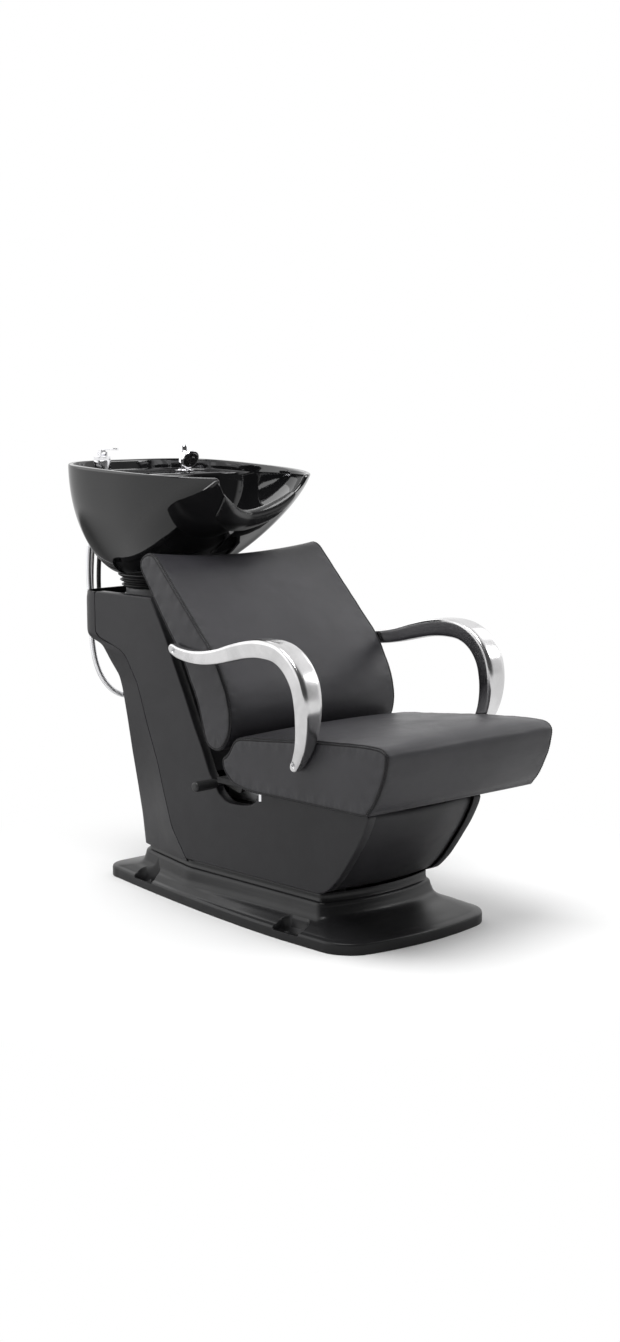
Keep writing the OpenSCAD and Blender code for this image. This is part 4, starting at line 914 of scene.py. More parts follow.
    def pressed(self, rings: Points, floor: float, sill: float, grow: float) -> Points:
        """Presses the bolt pockets into the flange.

        A point inside a pocket's rounded outline sinks to the floor, or to the sill near the
        flange's edge: z = min(z, target) blended by a smooth step across the wall.

        Args:
            rings: The base's rings in mm.
            floor: Height of the pocket's floor.
            sill: Height of the low stretch of the flange's edge.
            grow: How much larger the pocket is here than at the skin.

        Returns:
            The rings with the pockets in.
        """
        x, y, z = np.abs(rings[..., 0]), rings[..., 1], rings[..., 2].copy()
        for at in self.pocket_at:
            edge = float(self.flange_x(at))
            lo, hi = max(edge - self.pocket_deep, self.pocket_stop) - grow, edge + 60
            w = self.pocket_w / 2 + grow
            r = self.pocket_round
            qx = np.abs(x - (lo + hi) / 2) - (hi - lo) / 2 + r
            qy = np.abs(y - at) - w + r
            away = np.hypot(np.maximum(qx, 0), np.maximum(qy, 0)) + np.minimum(np.maximum(qx, qy), 0) - r
            inside = smooth(np.clip((self.pocket_wall / 2 - away) / self.pocket_wall, 0, 1))
            lip = smooth(np.clip((x - (self.flange_x(y) - self.sill_in)) / self.sill_step, 0, 1))
            target = floor + (sill - floor) * lip
            z = z + (np.minimum(z, target) - z) * inside
        return np.concatenate([rings[..., :2], z[..., None]], -1)

    def base(self) -> bpy.types.Object:
        """The base: a flange that flows up into the neck, with four bolt pockets and holes."""
        rim = [(0, 0, 0.6), (1.2, 0, 0), (10, 0, 0), (17.5, 0, 0), (19.5, 0, 0), (21.5, 0, 0.25),
               (23.5, 0, 1.0), (25, 0, 2.3), (26, 0.005, 4.2), (27, 0.03, 6.0)]
        rise = catmull([(28.4, 0.08, 6.5), (31, 0.16, 6), (35, 0.34, 3.6), (40, 0.55, 1.2), (46, 0.79, 0.2),
                        (54, 0.92, 0), (66, 0.98, 0), (73, 1, 0.4), (78, 1, 1.6), (82, 1, 4.2), (85, 1, 8.5),
                        (90, 1, 10.8)], 7)
        lip = [(95, 1, 11), (102.6, 1, 11), (103, 1, 11.4), (103, 1, 14.4), (102, 1, 15)]
        skin = self.base_rings(np.vstack([rim, rise, lip]))
        hollow = [(84, 1, 15), (76, 1, 6.8), (62, 0.98, 5), (48, 0.92, 5), (40, 0.8, 5), (34, 0.55, 5),
                  (24, 0.2, 10), (18, 0.02, 9), (8, 0, 6), (0, 0, 5)]
        cave = self.base_rings(np.array(hollow))
        skin = self.pressed(skin, self.pocket_floor, self.pocket_sill, 0)
        cave = self.pressed(cave, self.pocket_floor - 3, self.pocket_sill - 6, 4)
        piece = loft("base_moulding", np.concatenate([skin, cave]) * MM, wrap_rows=True)
        tools = [rod("tool", (s * x, y, -5), (s * x, y, 30), self.hole_r)
                 for x, y in self.holes for s in (-1, 1)]
        return cut(piece, tools)

    def panel(self, side: int, word: str) -> bpy.types.Object:
        """A side panel: its outline with a rounded outer edge, open behind, of the shell's thickness.

        Args:
            side: 1 for +X and -1 for -X.
            word: That side's word.

        Returns:
            The closed piece.
        """
        z = np.arange(self.panel_low, self.head_top - 5, 12.0)
        rear = np.stack([self.column_at(z, 1) - self.gap, z], 1)
        end = float(self.column_at(706, 1))
        top = np.array([(end - self.gap, self.head_top - 5), (end - 7, self.head_top)])
        seat_edge = [(self.front_top, self.seat_z)]
        outline = np.vstack([catmull(self.slant, 6), seat_edge, catmull(self.front, 6), rear, top])
        outline = softened(spaced(outline, 3.0, closed=True), 1.0)
        r = self.edge_r
        behind, within = self.half_w - self.panel_t, self.half_w - self.shell_t
        outer = [(behind, 0.0), (self.half_w - r - 4, 0.0)]
        outer += [(self.half_w - r + r * math.sin(t), r - r * math.cos(t))
                  for t in np.radians(np.linspace(0, 90, 6))]
        outer += [(self.half_w, r + 2.5)]
        inner = [(within, 5.7), (within, 4.5), (behind, 3.5)]
        verts = np.concatenate([at_side(side * x, inset(outline, d)) for x, d in outer + inner])
        m, n = len(outer), len(outline)
        k = np.arange(n)
        last = (m + 2) * n
        faces = quads(m, n, False, True).tolist() + (quads(3, n, False, True) + m * n).tolist()
        faces += [list(range((m - 1) * n, m * n)), list(range(m * n, (m + 1) * n))]
        faces += np.stack([k, (k + 1) % n, last + (k + 1) % n, last + k], 1).tolist()
        return even_shade(outward(new_piece(f"side_panel_{word}_moulding", verts * MM, faces)), 90)

    def column_rings(self, heights: np.ndarray, d: float) -> Points:
        """Rear half rings of the column in plan, drawn in by d: a straight side, a corner, a full back."""
        rings = []
        for z in heights:
            ya, xb, yb, r = (float(self.column_at(z, k)) for k in (1, 2, 3, 4))
            a, b = np.array([self.half_w, ya]), np.array([xb, yb])
            u = (b - a) / np.linalg.norm(b - a)
            p, q = b - u * r, np.array([xb - r, yb + 2])
            n = np.array([u[1], -u[0]])
            t = np.linspace(0, 1, 15)[:-1, None]
            side, bend = a + (p - a) * t, bent(p, b, q, t)
            f = np.linspace(1, 0, 12)
            back = np.stack([q[0] * f, yb + 8 - 6 * f**2], 1)
            half = np.vstack([side - n * d, bend - d * ((1 - t) * n + t * np.array([0, 1])), back - [0, d]])
            rings.append(at_height(np.vstack([half, half[-2::-1] * [-1, 1]]), z))
        return np.array(rings)

    def column_piece(self) -> bpy.types.Object:
        """The column's rear shell: section rings up its height, with rounded rims."""
        z = np.concatenate([[97.3, 98.5], np.arange(104, 700, 5.0), [702, 706]])
        outer, inner = self.column_rings(z, 0), self.column_rings(z, self.shell_t)
        m, n = outer.shape[:2]
        k = m * n
        wall = quads(m, n, False, False)
        faces = wall.tolist() + (wall[:, ::-1] + k).tolist()
        j, i = np.arange(n - 1), np.arange(m - 1) * n
        e = (m - 1) * n + j
        for corners in ([j, j + 1, k + j + 1, k + j], [e, k + e, k + e + 1, e + 1],
                        *([b, k + b, k + b + n, b + n] for b in (i, i + n - 1))):
            faces += np.stack(corners, 1).tolist()
        verts = np.concatenate([outer.reshape(-1, 3), inner.reshape(-1, 3)]) * MM
        return bevelled(outward(new_piece("column_moulding", verts, faces)), 2.0, 3, 50)

    def front_piece(self) -> bpy.types.Object:
        """The front cover: the panels' front line carried across, bulging by bulge (1 - f^2)."""
        line = np.vstack([[(self.front_top, self.seat_z - 3)], catmull(self.front, 6)[1:]])
        line = softened(spaced(line, 5.0), 1.5, closed=False)
        f = np.linspace(-1, 1, 49)
        w = self.half_w - self.panel_t - self.gap
        x = np.broadcast_to(f * w, (len(line), len(f)))
        y = line[:, :1] + 8 - self.bulge * (1 - f**2)
        z = np.broadcast_to(np.maximum(line[:, 1:], self.panel_low + 0.4), x.shape)
        verts = np.stack([x, y, z], -1).reshape(-1, 3) * MM
        piece = new_piece("front_moulding", verts, quads(*x.shape, False, False))
        wall = piece.modifiers.new("wall", "SOLIDIFY")
        wall.thickness = self.shell_t * MM
        inwards = piece.data.polygons[600].normal.y > 0
        wall.offset = 1.0 if inwards else -1.0
        return bevelled(applied(piece), 1.6, 3, 50)

    def slope_piece(self) -> bpy.types.Object:
        """The sloping cover behind the chair: the first stretch of the panels' edge, set in."""
        line = spaced(catmull(self.slant[:8], 5), 5.0) + [14, -6]
        loop = np.vstack([line, line[::-1] + [4, -2]])
        w = self.half_w - self.panel_t - self.gap
        grid = np.array([at_side(x, loop) for x in np.linspace(-w, w, 9)])
        return bevelled(loft("slope_moulding", grid * MM), 1.0, 2, 50)

    def build(self, dresser: Dresser) -> None:
        """Makes and dresses the stand."""
        # The base gets the darker copy of the stand plastic: painted shade.
        dresser.hand(self.base(), "base_shell", material=dresser.base)
        for side, word in SIDES:
            dresser.hand(self.panel(side, word), "side_panel_" + word)
        dresser.hand(self.column_piece(), "column_shell")
        dresser.hand(self.front_piece(), "front_cover")
        dresser.hand(self.slope_piece(), "slope_cover")
        for nodes, width in (("head_deck", 1.2), ("deck_bolts", 0.7), ("hose_gland", 0.8),
                             ("uprights front_posts seat_beams cross_bars yoke", 1.2),
                             ("seat_rails waste_pipe base_plate", 0.5)):
            for node in nodes.split():
                dresser.refined(node, width)
        ring = [(78, 0.6), (78.6, 0), (90, 0), (90.4, 0.5), (90.4, 3.2), (89.4, 4.4), (87.2, 4.8),
                (86.4, 5.8), (86, 17.5), (85.2, 19.2), (83.6, 20), (80, 20), (78.6, 19.4), (78, 18)]
        collar = revolve("neck_collar_ring", ring, (0, self.collar_y, self.collar_z))
        dresser.hand(bevelled(collar, 0.3, 2, 30), "neck_collar")


# ---------------------------------------------------------------- chair

CLOTH = {"quality": 5, "mass": 0.3, "tension_stiffness": 18, "compression_stiffness": 14,
         "bending_stiffness": 1.2, "use_pressure": True, "uniform_pressure_force": 4.0,
         "shrink_min": 0.002, "vertex_group_mass": "held"}
CLOTH_FRAMES = 20
SEAM_STEP = 2.0
WELT_HALF = ((7.6, -0.9), (6.4, 0.2), (4.9, 1.15), (3.4, 1.4), (2.2, 1.15), (1.1, 0.3), (0.5, -0.8))
WELT = (*((-off, height) for off, height in WELT_HALF), (0, -1.3), *WELT_HALF[::-1])
STITCH_ROWS = (3, 11)


@dataclass
class Padding:
    """One padded cushion: a Y-Z profile carried across X with a crown, then a stitched seam at both ends."""

    name: str
    node: str
    profile: tuple
    half_w: float
    crown: float
    dip: float
    rest_on: tuple
    top_cap: float = 7.0
    side_cap: float = 2.2
    voxel: float = 5.5
    corner: float = 5.0
    side_in: float = 2.6
    left_to_cloth: float = 5.0
    held_seam: float = 6.0
    held_board: float = 4.0
    even_rounds: int = 22
    side_from: float = 14.0
    side_step: float = 8.0
    pucker: float = 0.8
    valley: float = 5.0
    gather: tuple[float, float, float, float] = (0.2, 17, 9, 8)
    fold: tuple[float, float, float, float] = (0.4, 43, 16, 12)
    welt_deep: float = 3.2
    stitch_step: float = 5.4
    stitch_length: float = 3.8
    stitch_r: float = 0.62

    def outline(self) -> Points:
        """The profile as a smooth closed curve: Y, Z, share of the crown, share of the dip."""
        return spaced(catmull(self.profile, 8, closed=True), 5.0, closed=True)

    def station(self, loop: Points, f: float, draw: float, less: float = 0.0) -> Points:
        """The profile at the share f of the half-width, swollen by crown (1 - |f|^2.6) and drawn in.

        Args:
            loop: The outline.
            f: Place across the width, from -1 to 1.
            draw: How far this section is drawn in along its normals, in mm.
            less: How much crown is left to the cloth simulation, in mm.

        Returns:
            Rows of Y and Z in mm.
        """
        t = tangents(loop[:, :2], closed=True)
        normal = np.stack([t[:, 1], -t[:, 0]], 1)
        rise = (self.crown - less) * (1 - abs(f) ** 2.6) * loop[:, 2] - draw
        out = loop[:, :2] + rise[:, None] * normal
        out[:, 1] -= loop[:, 3] * self.dip * (1 - f * f)
        return out

    def block(self) -> bpy.types.Object:
        """The closed starting shape: sections across the width with rounded ends and flat sides."""
        loop = self.outline()
        hw = self.half_w - self.side_in
        r = self.corner
        half = [(f, 0.0) for f in np.linspace(0, (hw - r) / self.half_w, 26)[:-1]]
        half += [((hw - r + r * math.sin(t)) / self.half_w, r - r * math.cos(t))
                 for t in np.radians(np.linspace(0, 90, 6))]
        rows = [(-f, d) for f, d in half[:0:-1]] + half
        grid = [at_side(f * self.half_w, self.station(loop, f, d, self.left_to_cloth)) for f, d in rows]
        return loft(self.name, np.array(grid) * MM)

    def seam_line(self, side: int, draw: float = 1.0) -> Points:
        """The seam at one side: the drawn-in profile at the cushion's edge, in metres."""
        line = at_side(side * (self.half_w - self.side_in - 0.6), self.station(self.outline(), 1.0, draw))
        return spaced(line, SEAM_STEP, closed=True) * MM

    def swollen(self, piece: bpy.types.Object) -> bpy.types.Object:
        """Remeshes the block and lets cloth pressure fill it between its pinned seams.

        The cap is the furthest that a point may move: least where the pad lies on its board, a
        little at the sides, and most on the faces that a sitter touches.
        """
        remesh = piece.modifiers.new("even", "REMESH")
        remesh.mode = "VOXEL"
        remesh.voxel_size = self.voxel * MM
        applied(piece)
        start = coords(piece)
        seams = np.vstack([self.seam_line(s)[::2] for s in (-1, 1)])
        near = nearest(start, seams)[0]
        rest = distance_to_line(start[:, 1:] / MM, np.array(self.rest_on, float))
        group = piece.vertex_groups.new(name="held")
        held = (near < self.held_seam * MM) | (rest < self.held_board)
        group.add(np.flatnonzero(held).tolist(), 1.0, "REPLACE")
        cloth = piece.modifiers.new("fill", "CLOTH")
        for key, value in CLOTH.items():
            setattr(cloth.settings, key, value)
        cloth.settings.effector_weights.gravity = 0.0
        cloth.collision_settings.use_collision = False
        cloth.point_cache.frame_start, cloth.point_cache.frame_end = 1, CLOTH_FRAMES
        for step in range(1, CLOTH_FRAMES + 1):
            bpy.context.scene.frame_set(step)
        applied(piece)
        moved = coords(piece) - start
        bpy.context.scene.frame_set(1)
        side = np.clip((np.abs(start[:, 0]) / MM - (self.half_w - self.side_from)) / self.side_step, 0, 1)
        cap = (self.top_cap * (1 - side) + self.side_cap * side) * np.clip((rest - 2) / 14, 0.02, 1) * MM
        moved = evened(piece, moved, self.even_rounds)
        size = np.linalg.norm(moved, axis=1)
        moved *= np.minimum(1, cap / np.maximum(size, 1e-9))[:, None]
        put_coords(piece, start + moved)
        return applied(finer(piece, 1))

    @staticmethod
    def _bulges(s: np.ndarray, d: np.ndarray, form: tuple, phase: np.ndarray | float) -> np.ndarray:
        """A row of bulges along the seam: height sin(2 pi s / step + phase) exp(-((d - off) / wide)^2).

        Args:
            s: Place along the seam in mm.
            d: Distance from it in mm.
            form: Height, step, off and wide.
            phase: Shift along the seam.

        Returns:
            Heights in mm.
        """
        height, step, off, wide = form
        return height * np.sin(2 * math.pi * s / step + phase) * np.exp(-((d - off) / wide) ** 2)

    def puckered(self, piece: bpy.types.Object) -> None:
        """Draws the cover in at its seams by exp(-(d / valley)^2), with gathers and folds beside them."""
        at, normal = coords(piece), vertex_normals(piece)
        for side in (-1, 1):
            d, index = nearest(at, self.seam_line(side))
            d, s = d / MM, index * SEAM_STEP
            shift = self._bulges(s, d, self.gather, 1.3 * np.sin(s / 61)) + self._bulges(s, d, self.fold, 2.1)
            shift -= self.pucker * np.exp(-(d / self.valley) ** 2)
            shift *= np.clip((np.abs(at[:, 0]) / MM - self.half_w + 60) / 20, 0, 1)
            at = at + normal * (shift * MM)[:, None]
        put_coords(piece, at)

    def seam(self, cover: bpy.types.Object, side: int, word: str, dresser: Dresser) -> None:
        """The double-stitched seam: a welt that follows the edge of the cover, and two rows of stitches.

        The welt's section is a row of offsets across the seam and heights over the cover; each
        point is put on the cover's nearest place and lifted along its normal.

        Args:
            cover: The finished cover.
            side: 1 or -1.
            word: That side's word.
            dresser: Gives the finishes.
        """
        tree = BVHTree.FromObject(cover, bpy.context.evaluated_depsgraph_get())
        line = self.seam_line(side, 0.6)
        t = tangents(line, closed=True)
        up = np.stack([np.zeros(len(t)), t[:, 2], -t[:, 1]], 1)
        rows, faces_at = [], []
        for off, height in WELT:
            probe = line + (np.array([-side, 0, 0]) * max(off, 0) - up * max(-off, 0)) * MM
            hit = [tree.find_nearest(Vector(p)) for p in probe]
            on = np.array([h[0] for h in hit])
            lift = unit(softened(np.array([h[1] for h in hit]), 3.0))
            rows.append(softened(on, 1.5) + lift * height * MM)
            faces_at.append(lift)
        middle = len(WELT) // 2
        under = softened(rows[middle], 1.0) - softened(faces_at[middle], 1.0) * self.welt_deep * MM
        grid = np.stack(rows + [under], 1)
        welt = loft(f"{self.name}_seam_{word}", grid, wrap_rows=True)
        # The welt wears the darker leather: painted shade in the seam's groove.
        dresser.hand(welt, body=BODY_OF[self.node], slot="leatherette", material=dresser.seam)
        marks = []
        for row in STITCH_ROWS:
            track = spaced(rows[row], self.stitch_step * MM, closed=True)
            which = nearest(track, rows[row])[1]
            marks.append(stitches(track, faces_at[row][which], self.stitch_length, self.stitch_r))
        verts = np.concatenate([m[0] for m in marks])
        faces = np.concatenate([marks[0][1], marks[1][1] + len(marks[0][0])])
        thread = new_piece(f"{self.name}_stitches_{word}", verts, faces.tolist())
        dresser.hand(thread, body=BODY_OF[self.node], slot="leatherette", material=dresser.thread)

    def build(self, dresser: Dresser) -> None:
        cover = self.swollen(self.block())
        self.puckered(cover)
        cover.data.shade_smooth()
        dresser.hand(cover, self.node)
        for side, word in SIDES[::-1]:
            self.seam(cover, side, word, dresser)


def stitches(track: Points, normal: Points, length: float, radius: float) -> tuple[Points, np.ndarray]:
    """Small rounded stitches end to end along a track, each sunk at both ends.

    One stitch is a tube whose radius is r sqrt(1 - u^2 0.8) and whose middle sinks by u^2 at its ends,
    for u from -1 to 1.

    Args:
        track: Places of the stitches in metres, closed.
        normal: The surface's normals there.
        length: Length of a stitch in mm.
        radius: Its thickness in mm.

    Returns:
        Points and quads.
    """
    t = tangents(track, closed=True)
    side = unit(np.cross(t, normal))
    u = np.array([-1, -0.55, 0, 0.55, 1])
    a = np.arange(6) * math.pi / 3
    r = radius * np.sqrt(1 - 0.8 * u**2)
    local = np.stack([np.repeat(u * length / 2, 6), np.outer(r, np.cos(a)).ravel(),
                      (np.outer(r, np.sin(a)) + (0.15 - 0.75 * u[:, None] ** 2) * radius).ravel()], 1) * MM
    verts = (track[:, None] + local[None, :, :1] * t[:, None] + local[None, :, 1:2] * side[:, None]
             + local[None, :, 2:] * normal[:, None])
    caps = np.array([[0, 1, 2, 3], [0, 3, 4, 5], [24, 27, 26, 25], [24, 29, 28, 27]])
    one = np.vstack([quads(5, 6, False, True), caps])[:, ::-1]
    faces = one[None] + (np.arange(len(track)) * 30)[:, None, None]
    return verts.reshape(-1, 3), faces.reshape(-1, 4)


SEAT = Padding(
    "seat_cover", "seat_cushion",
    ((-76, 384, 0, 0), (-90, 392, 0, 0), (-103, 408, 0, 0), (-114, 425, 0, 0), (-130, 435, 0.5, 0),
     (-152, 439, 1, 0), (-230, 446, 1, 0), (-310, 454, 1, 0), (-380, 461, 1, 0), (-450, 466, 1, 0),
     (-510, 470, 1, 0), (-556, 471, 1, 0), (-582, 467, 1, 0), (-594, 455, 1, 0), (-592, 432, 1, 0),
     (-585, 405, 1, 0), (-570, 372, 0.9, 0), (-556, 347, 0.5, 0), (-541, 331, 0.1, 0), (-524, 320, 0, 0),
     (-400, 320, 0, 0), (-260, 320, 0, 0), (-180, 320, 0, 0), (-120, 328, 0, 0), (-92, 345, 0, 0),
     (-78, 364, 0, 0)), 257, 13, 0,
    ((-524, 320), (-400, 320), (-260, 320), (-180, 320), (-120, 328), (-92, 345)))
BACK = Padding(
    "back_cover", "back_cushion",
    ((-82, 409, 0, 0), (-58, 396, 0, 0), (-28, 404, 0, 0), (-14, 427, 0, 0), (10, 500, 0, 0), (34, 543, 0, 0),
     (60, 590, 0, 0), (98, 637, 0, 0), (127, 673, 0, 0), (155, 710, 0, 0), (187, 755, 0, 0.2),
     (203, 775, 0, 0.6), (209, 792, 0, 0.9), (205, 807, 0, 1), (190, 818, 0.1, 1), (170, 822, 0.2, 1),
     (154, 817, 0.4, 1), (138, 802, 0.7, 0.8), (118, 782, 0.9, 0.5), (85, 748, 1, 0.2), (55, 718, 1, 0),
     (28, 691, 1, 0), (-5, 657, 1, 0), (-34, 629, 1, 0), (-58, 598, 1, 0), (-76, 566, 1, 0),
     (-91, 538, 1, 0), (-100, 512, 1, 0), (-106, 480, 0.9, 0), (-102, 440, 0.4, 0)), 257, 12, 17,
    ((-14, 427), (10, 500), (34, 543), (60, 590), (98, 637), (127, 673), (155, 710), (187, 755)))


@dataclass
class Chair:
    """Padding, armrests and what carries them."""

    arm_in: float = 257.3
    end_w: float = 18
    mid_w: float = 52
    screws: tuple[tuple[float, float], ...] = ((62, 612), (-337, 407))
    seat_r: float = 6.2
    seat_deep: float = 4.2
    squareness: float = 0.36
    path: tuple = ((70, 614, 12, 0, 0), (48, 608, 13, 0, 0.05), (5, 604, 14, 0, 0.15),
                   (-45, 606, 15.5, 0, 0.26), (-100, 615, 17, 0, 0.38), (-155, 629, 19, 1, 0.52),
                   (-210, 641, 20, 2, 0.66),
                   (-262, 646, 21, 3, 0.8), (-312, 641, 21, 4, 0.92), (-352, 619, 21, 4, 1),
                   (-379, 582, 21, 4, 1), (-388, 536, 20, 3, 0.94), (-384, 490, 18.5, 1, 0.78),
                   (-371, 452, 16.5, 0, 0.52), (-350, 420, 14, 0, 0.2), (-335, 403, 12, 0, 0))

    def armrest(self, side: int, word: str) -> bpy.types.Object:
        """A cast armrest: a rounded bar swept along its path, widest at the bend, round at both ends.

        The section is a rounded oblong, sign(cos a) |cos a|^0.36 by the same of sin a; past each end
        its height shrinks as cos b while it moves on by sin b.

        Args:
            side: 1 for +X and -1 for -X.
            word: That side's word.

        Returns:
            The closed piece with its two screw seats.
        """
        line = spaced(catmull(self.path, 10), 4.0)
        u = tangents(line[:, :2])
        b = np.radians(np.linspace(84, 12, 7))
        a = np.radians(np.arange(0, 360, 7.5))
        e, g = (np.sign(w) * np.abs(w) ** self.squareness for w in (np.cos(a), np.sin(a)))
        rows = [(line[0], u[0], -math.sin(t), math.cos(t)) for t in b]
        rows += [(p, v, 0.0, 1.0) for p, v in zip(line, u)]
        rows += [(line[-1], u[-1], math.sin(t), math.cos(t)) for t in b[::-1]]
        grid = []
        for p, v, on, tall in rows:
            x0, x1 = self.arm_in - p[3], self.arm_in + self.end_w + (self.mid_w - self.end_w) * p[4]
            thin = 1 - 0.12 * (1 - tall)
            hw, hh = (x1 - x0) / 2 * thin, p[2] * tall
            x = x0 + (x1 - x0) / 2 + e * hw
            y = p[0] + v[0] * on * p[2] - v[1] * g * hh
            z = p[1] + v[1] * on * p[2] + v[0] * g * hh
            grid.append(np.stack([side * x, y, z], 1))
        piece = loft(f"armrest_{word}_casting", np.array(grid) * MM)
        face = self.arm_in + self.end_w
        tools = [rod("tool", (side * (face - self.seat_deep), y, z), (side * (face + 20), y, z), self.seat_r)
                 for y, z in self.screws]
        return even_shade(cut(piece, tools), 60)

    def build(self, dresser: Dresser) -> None:
        """Makes and dresses the chair."""
        SEAT.build(dresser)
        BACK.build(dresser)
        for side, word in SIDES:
            dresser.hand(self.armrest(side, word), "armrest_" + word)
        for node, width in (("arm_screws", 0.4), ("seat_bolts", 0.5), ("back_brackets", 1.0),
                            ("back_board", 1.5), ("seat_board", 1.5), ("runners", 0.5),
                            ("lever_bearings", 0.5), ("lever_shaft", 0.6), ("lever_grip", 0.5)):
            dresser.refined(node, width)


# ---------------------------------------------------------------- basin and water

@dataclass
class Basin:
    """Ceramic basin: plan of the rim, height of the cut-out and fullness of its walls."""

    half_w: float = 243
    back: float = 253
    fore: float = 315
    middle_y: float = 344
    rim_z: float = 1003
    slope: float = 2.9
    foot_z: float = 745
    foot_r: float = 104
    hinge_y: float = 454
    wall: float = 13
    neck_cut: float = 88
    horn: float = 26
    shelf_z: float = 985
    shelf_t: float = 28
    shelf_front: float = 465
    drain_y: float = 418
    drain_r: float = 24
    low: float = 768
    tap_x: float = 127
    shower_tilt: float = 62
    spray_y: float = 489
    spray_up: float = 29
    rest_lift: float = 0.8
    rest_roll: float = 19
    outer_form: tuple[float, float, float, float] = (2.2, 0.65, 1.15, 0.9)
    inner_form: tuple[float, float, float, float] = (2.4, 0.6, 1.3, 0.9)

    def rim(self, phi: np.ndarray) -> Points:
        """The rim in plan: a superellipse, fuller behind (power 3.6) than in front (power 2.4)."""
        c, s = np.cos(phi), np.abs(np.sin(phi))
        n = np.where(c >= 0, 3.6, 2.4)
        b = np.where(c >= 0, self.back, self.fore)
        r = ((s / self.half_w) ** n + (np.abs(c) / b) ** n) ** (-1 / n)
        return np.stack([r * np.sin(phi), self.middle_y + r * c], -1)

    def level(self, y: np.ndarray) -> np.ndarray:
        """Height of the sloping rim plane at y."""
        return self.rim_z + (y - self.middle_y) * math.tan(math.radians(self.slope))

    def cut_at(self, phi: np.ndarray) -> np.ndarray:
        """Depth of the neck cut-out at an angle: neck_cut (1 - t^2)^0.7, t rising to 1 at the horn."""
        away = 180 - np.degrees(np.minimum(np.abs(phi), 2 * math.pi - np.abs(phi)))
        t = np.minimum(1, np.abs(away) / self.horn)
        return self.neck_cut * (1 - t * t) ** 0.7

    @staticmethod
    def fullness(u: np.ndarray, phi: np.ndarray, form: tuple[float, float, float, float]) -> np.ndarray:
        """How far out the wall is at the share u of its depth: (1 - u^p)^q.

        Args:
            u: Share of the depth.
            phi: Angle round the basin, on which p and q depend.
            form: p and q behind, then p and q in front.

        Returns:
            1 at the rim to 0 at the foot.
        """
        t = (1 - np.cos(phi)) / 2
        f, k = smooth(t), np.abs(np.sin(phi))
        p = form[0] * (1 - f) + (form[2] + 0.34 * k) * f
        q = form[1] * (1 - f) + (form[3] - 0.14 * k) * f
        return np.maximum(0, 1 - np.clip(u, 0, 1) ** p) ** q

    def outer(self, phi: np.ndarray, v: float) -> Points:
        """The outer wall from the rim (v = 0) to the foot (v = 1)."""
        rim = self.rim(phi)
        top = self.level(rim[:, 1])
        share = self.cut_at(phi) / (top - self.foot_z)
        u = share * (1 - v) + v
        s = self.fullness(u, phi, self.outer_form)[:, None]
        foot = np.stack([self.foot_r * np.sin(phi), self.hinge_y + self.foot_r * np.cos(phi)], 1)
        return np.column_stack([foot * (1 - s) + rim * s, top * (1 - u) + self.foot_z * u])

    def inner_rim(self, phi: np.ndarray, wall: float | None = None) -> Points:
        """The rim's inner edge, one wall inside the outer one."""
        o = self.outer(phi, 0)
        u = unit(o[:, :2] - [0, self.middle_y])
        return np.column_stack([o[:, :2] - u * (self.wall if wall is None else wall), o[:, 2]])

    def shelf_edge(self, phi: np.ndarray) -> Points:
        """Where the rim's inside meets the tap shelf."""
        p = self.inner_rim(phi)
        u = unit(p[:, :2] - [0, self.middle_y])
        return np.column_stack([p[:, :2] - 2 * u, np.minimum(self.shelf_z, p[:, 2] - 5)])

    def cavity_edge(self, phi: np.ndarray) -> Points:
        """The cavity's upper edge, which leaves the shelf behind it."""
        p = self.shelf_edge(phi)
        behind = self.middle_y + self.back - self.wall - 2
        y = np.where(p[:, 1] < self.middle_y, p[:, 1], self.middle_y + (p[:, 1] - self.middle_y)
                     * (self.shelf_front - self.middle_y) / (behind - self.middle_y))
        return np.column_stack([p[:, 0], y, p[:, 2] - np.where(p[:, 1] < self.middle_y, 0, 1)])

    def cavity(self, phi: np.ndarray, v: float) -> Points:
        """The cavity's wall from its edge (v = 0) to the drain (v = 1)."""
        e = self.cavity_edge(phi)
        top = self.level(e[:, 1]) - 18
        share = np.maximum(0, (top - e[:, 2]) / (top - self.low))
        u = share * (1 - v) + v
        s = (self.fullness(u, phi, self.inner_form) / self.fullness(share, phi, self.inner_form))[:, None]
        drain = np.stack([self.drain_r * np.sin(phi), self.drain_y + self.drain_r * np.cos(phi)], 1)
        return np.column_stack([drain * (1 - s) + e[:, :2] * s, e[:, 2] * (1 - v) + self.low * v])

    def angles(self) -> np.ndarray:
        """Angles round the basin, closer together at the horns of the cut-out."""
        half = np.concatenate([np.arange(0, 138, 4.5), np.arange(138, 154, 2.0), np.arange(154, 162, 1.0),
                               np.arange(162, 180.1, 2.25)])
        return np.radians(np.concatenate([half, 360 - half[-2:0:-1]]))

    def bowl(self) -> bpy.types.Object:
        """The basin as one closed subdivision surface over the CAD's own rings, with a rolled rim."""
        phi = self.angles()
        rows = [self.outer(phi, v)
                for v in (1, 0.985, 0.95, 0.88, 0.78, 0.66, 0.54, 0.42, 0.31, 0.21, 0.13, 0.07, 0.035)]
        rows.append(self.outer(phi, 0) - [0, 0, 2.6])
        rows += [self.inner_rim(phi, self.wall * share) + [0, 0, rise]
                 for share, rise in ((0.1, 0.0), (0.5, 1.2), (0.9, 0.0))]
        edge, shelf, lip = self.inner_rim(phi), self.shelf_edge(phi), self.cavity_edge(phi)
        rows.append(edge - [0, 0, 2.4])
        rows += [edge * (1 - t) + shelf * t for t in (0.65, 0.94)]
        rows += [shelf * (1 - t) + lip * t for t in (0.08, 0.5, 0.93)]
        rows += [self.cavity(phi, v)
                 for v in (0.012, 0.05, 0.11, 0.19, 0.29, 0.4, 0.52, 0.64, 0.76, 0.86, 0.94, 0.985, 1)]
        well = np.column_stack([self.drain_r * np.sin(phi), self.drain_y + self.drain_r * np.cos(phi)])
        rows += [at_height(well, z) for z in (self.low - 3, self.foot_z + 2, self.foot_z)]
        piece = applied(finer(loft("basin_bowl", np.array(rows) * MM, wrap_rows=True), 2))
        return even_shade(cut(piece, [self.window()]), 50)

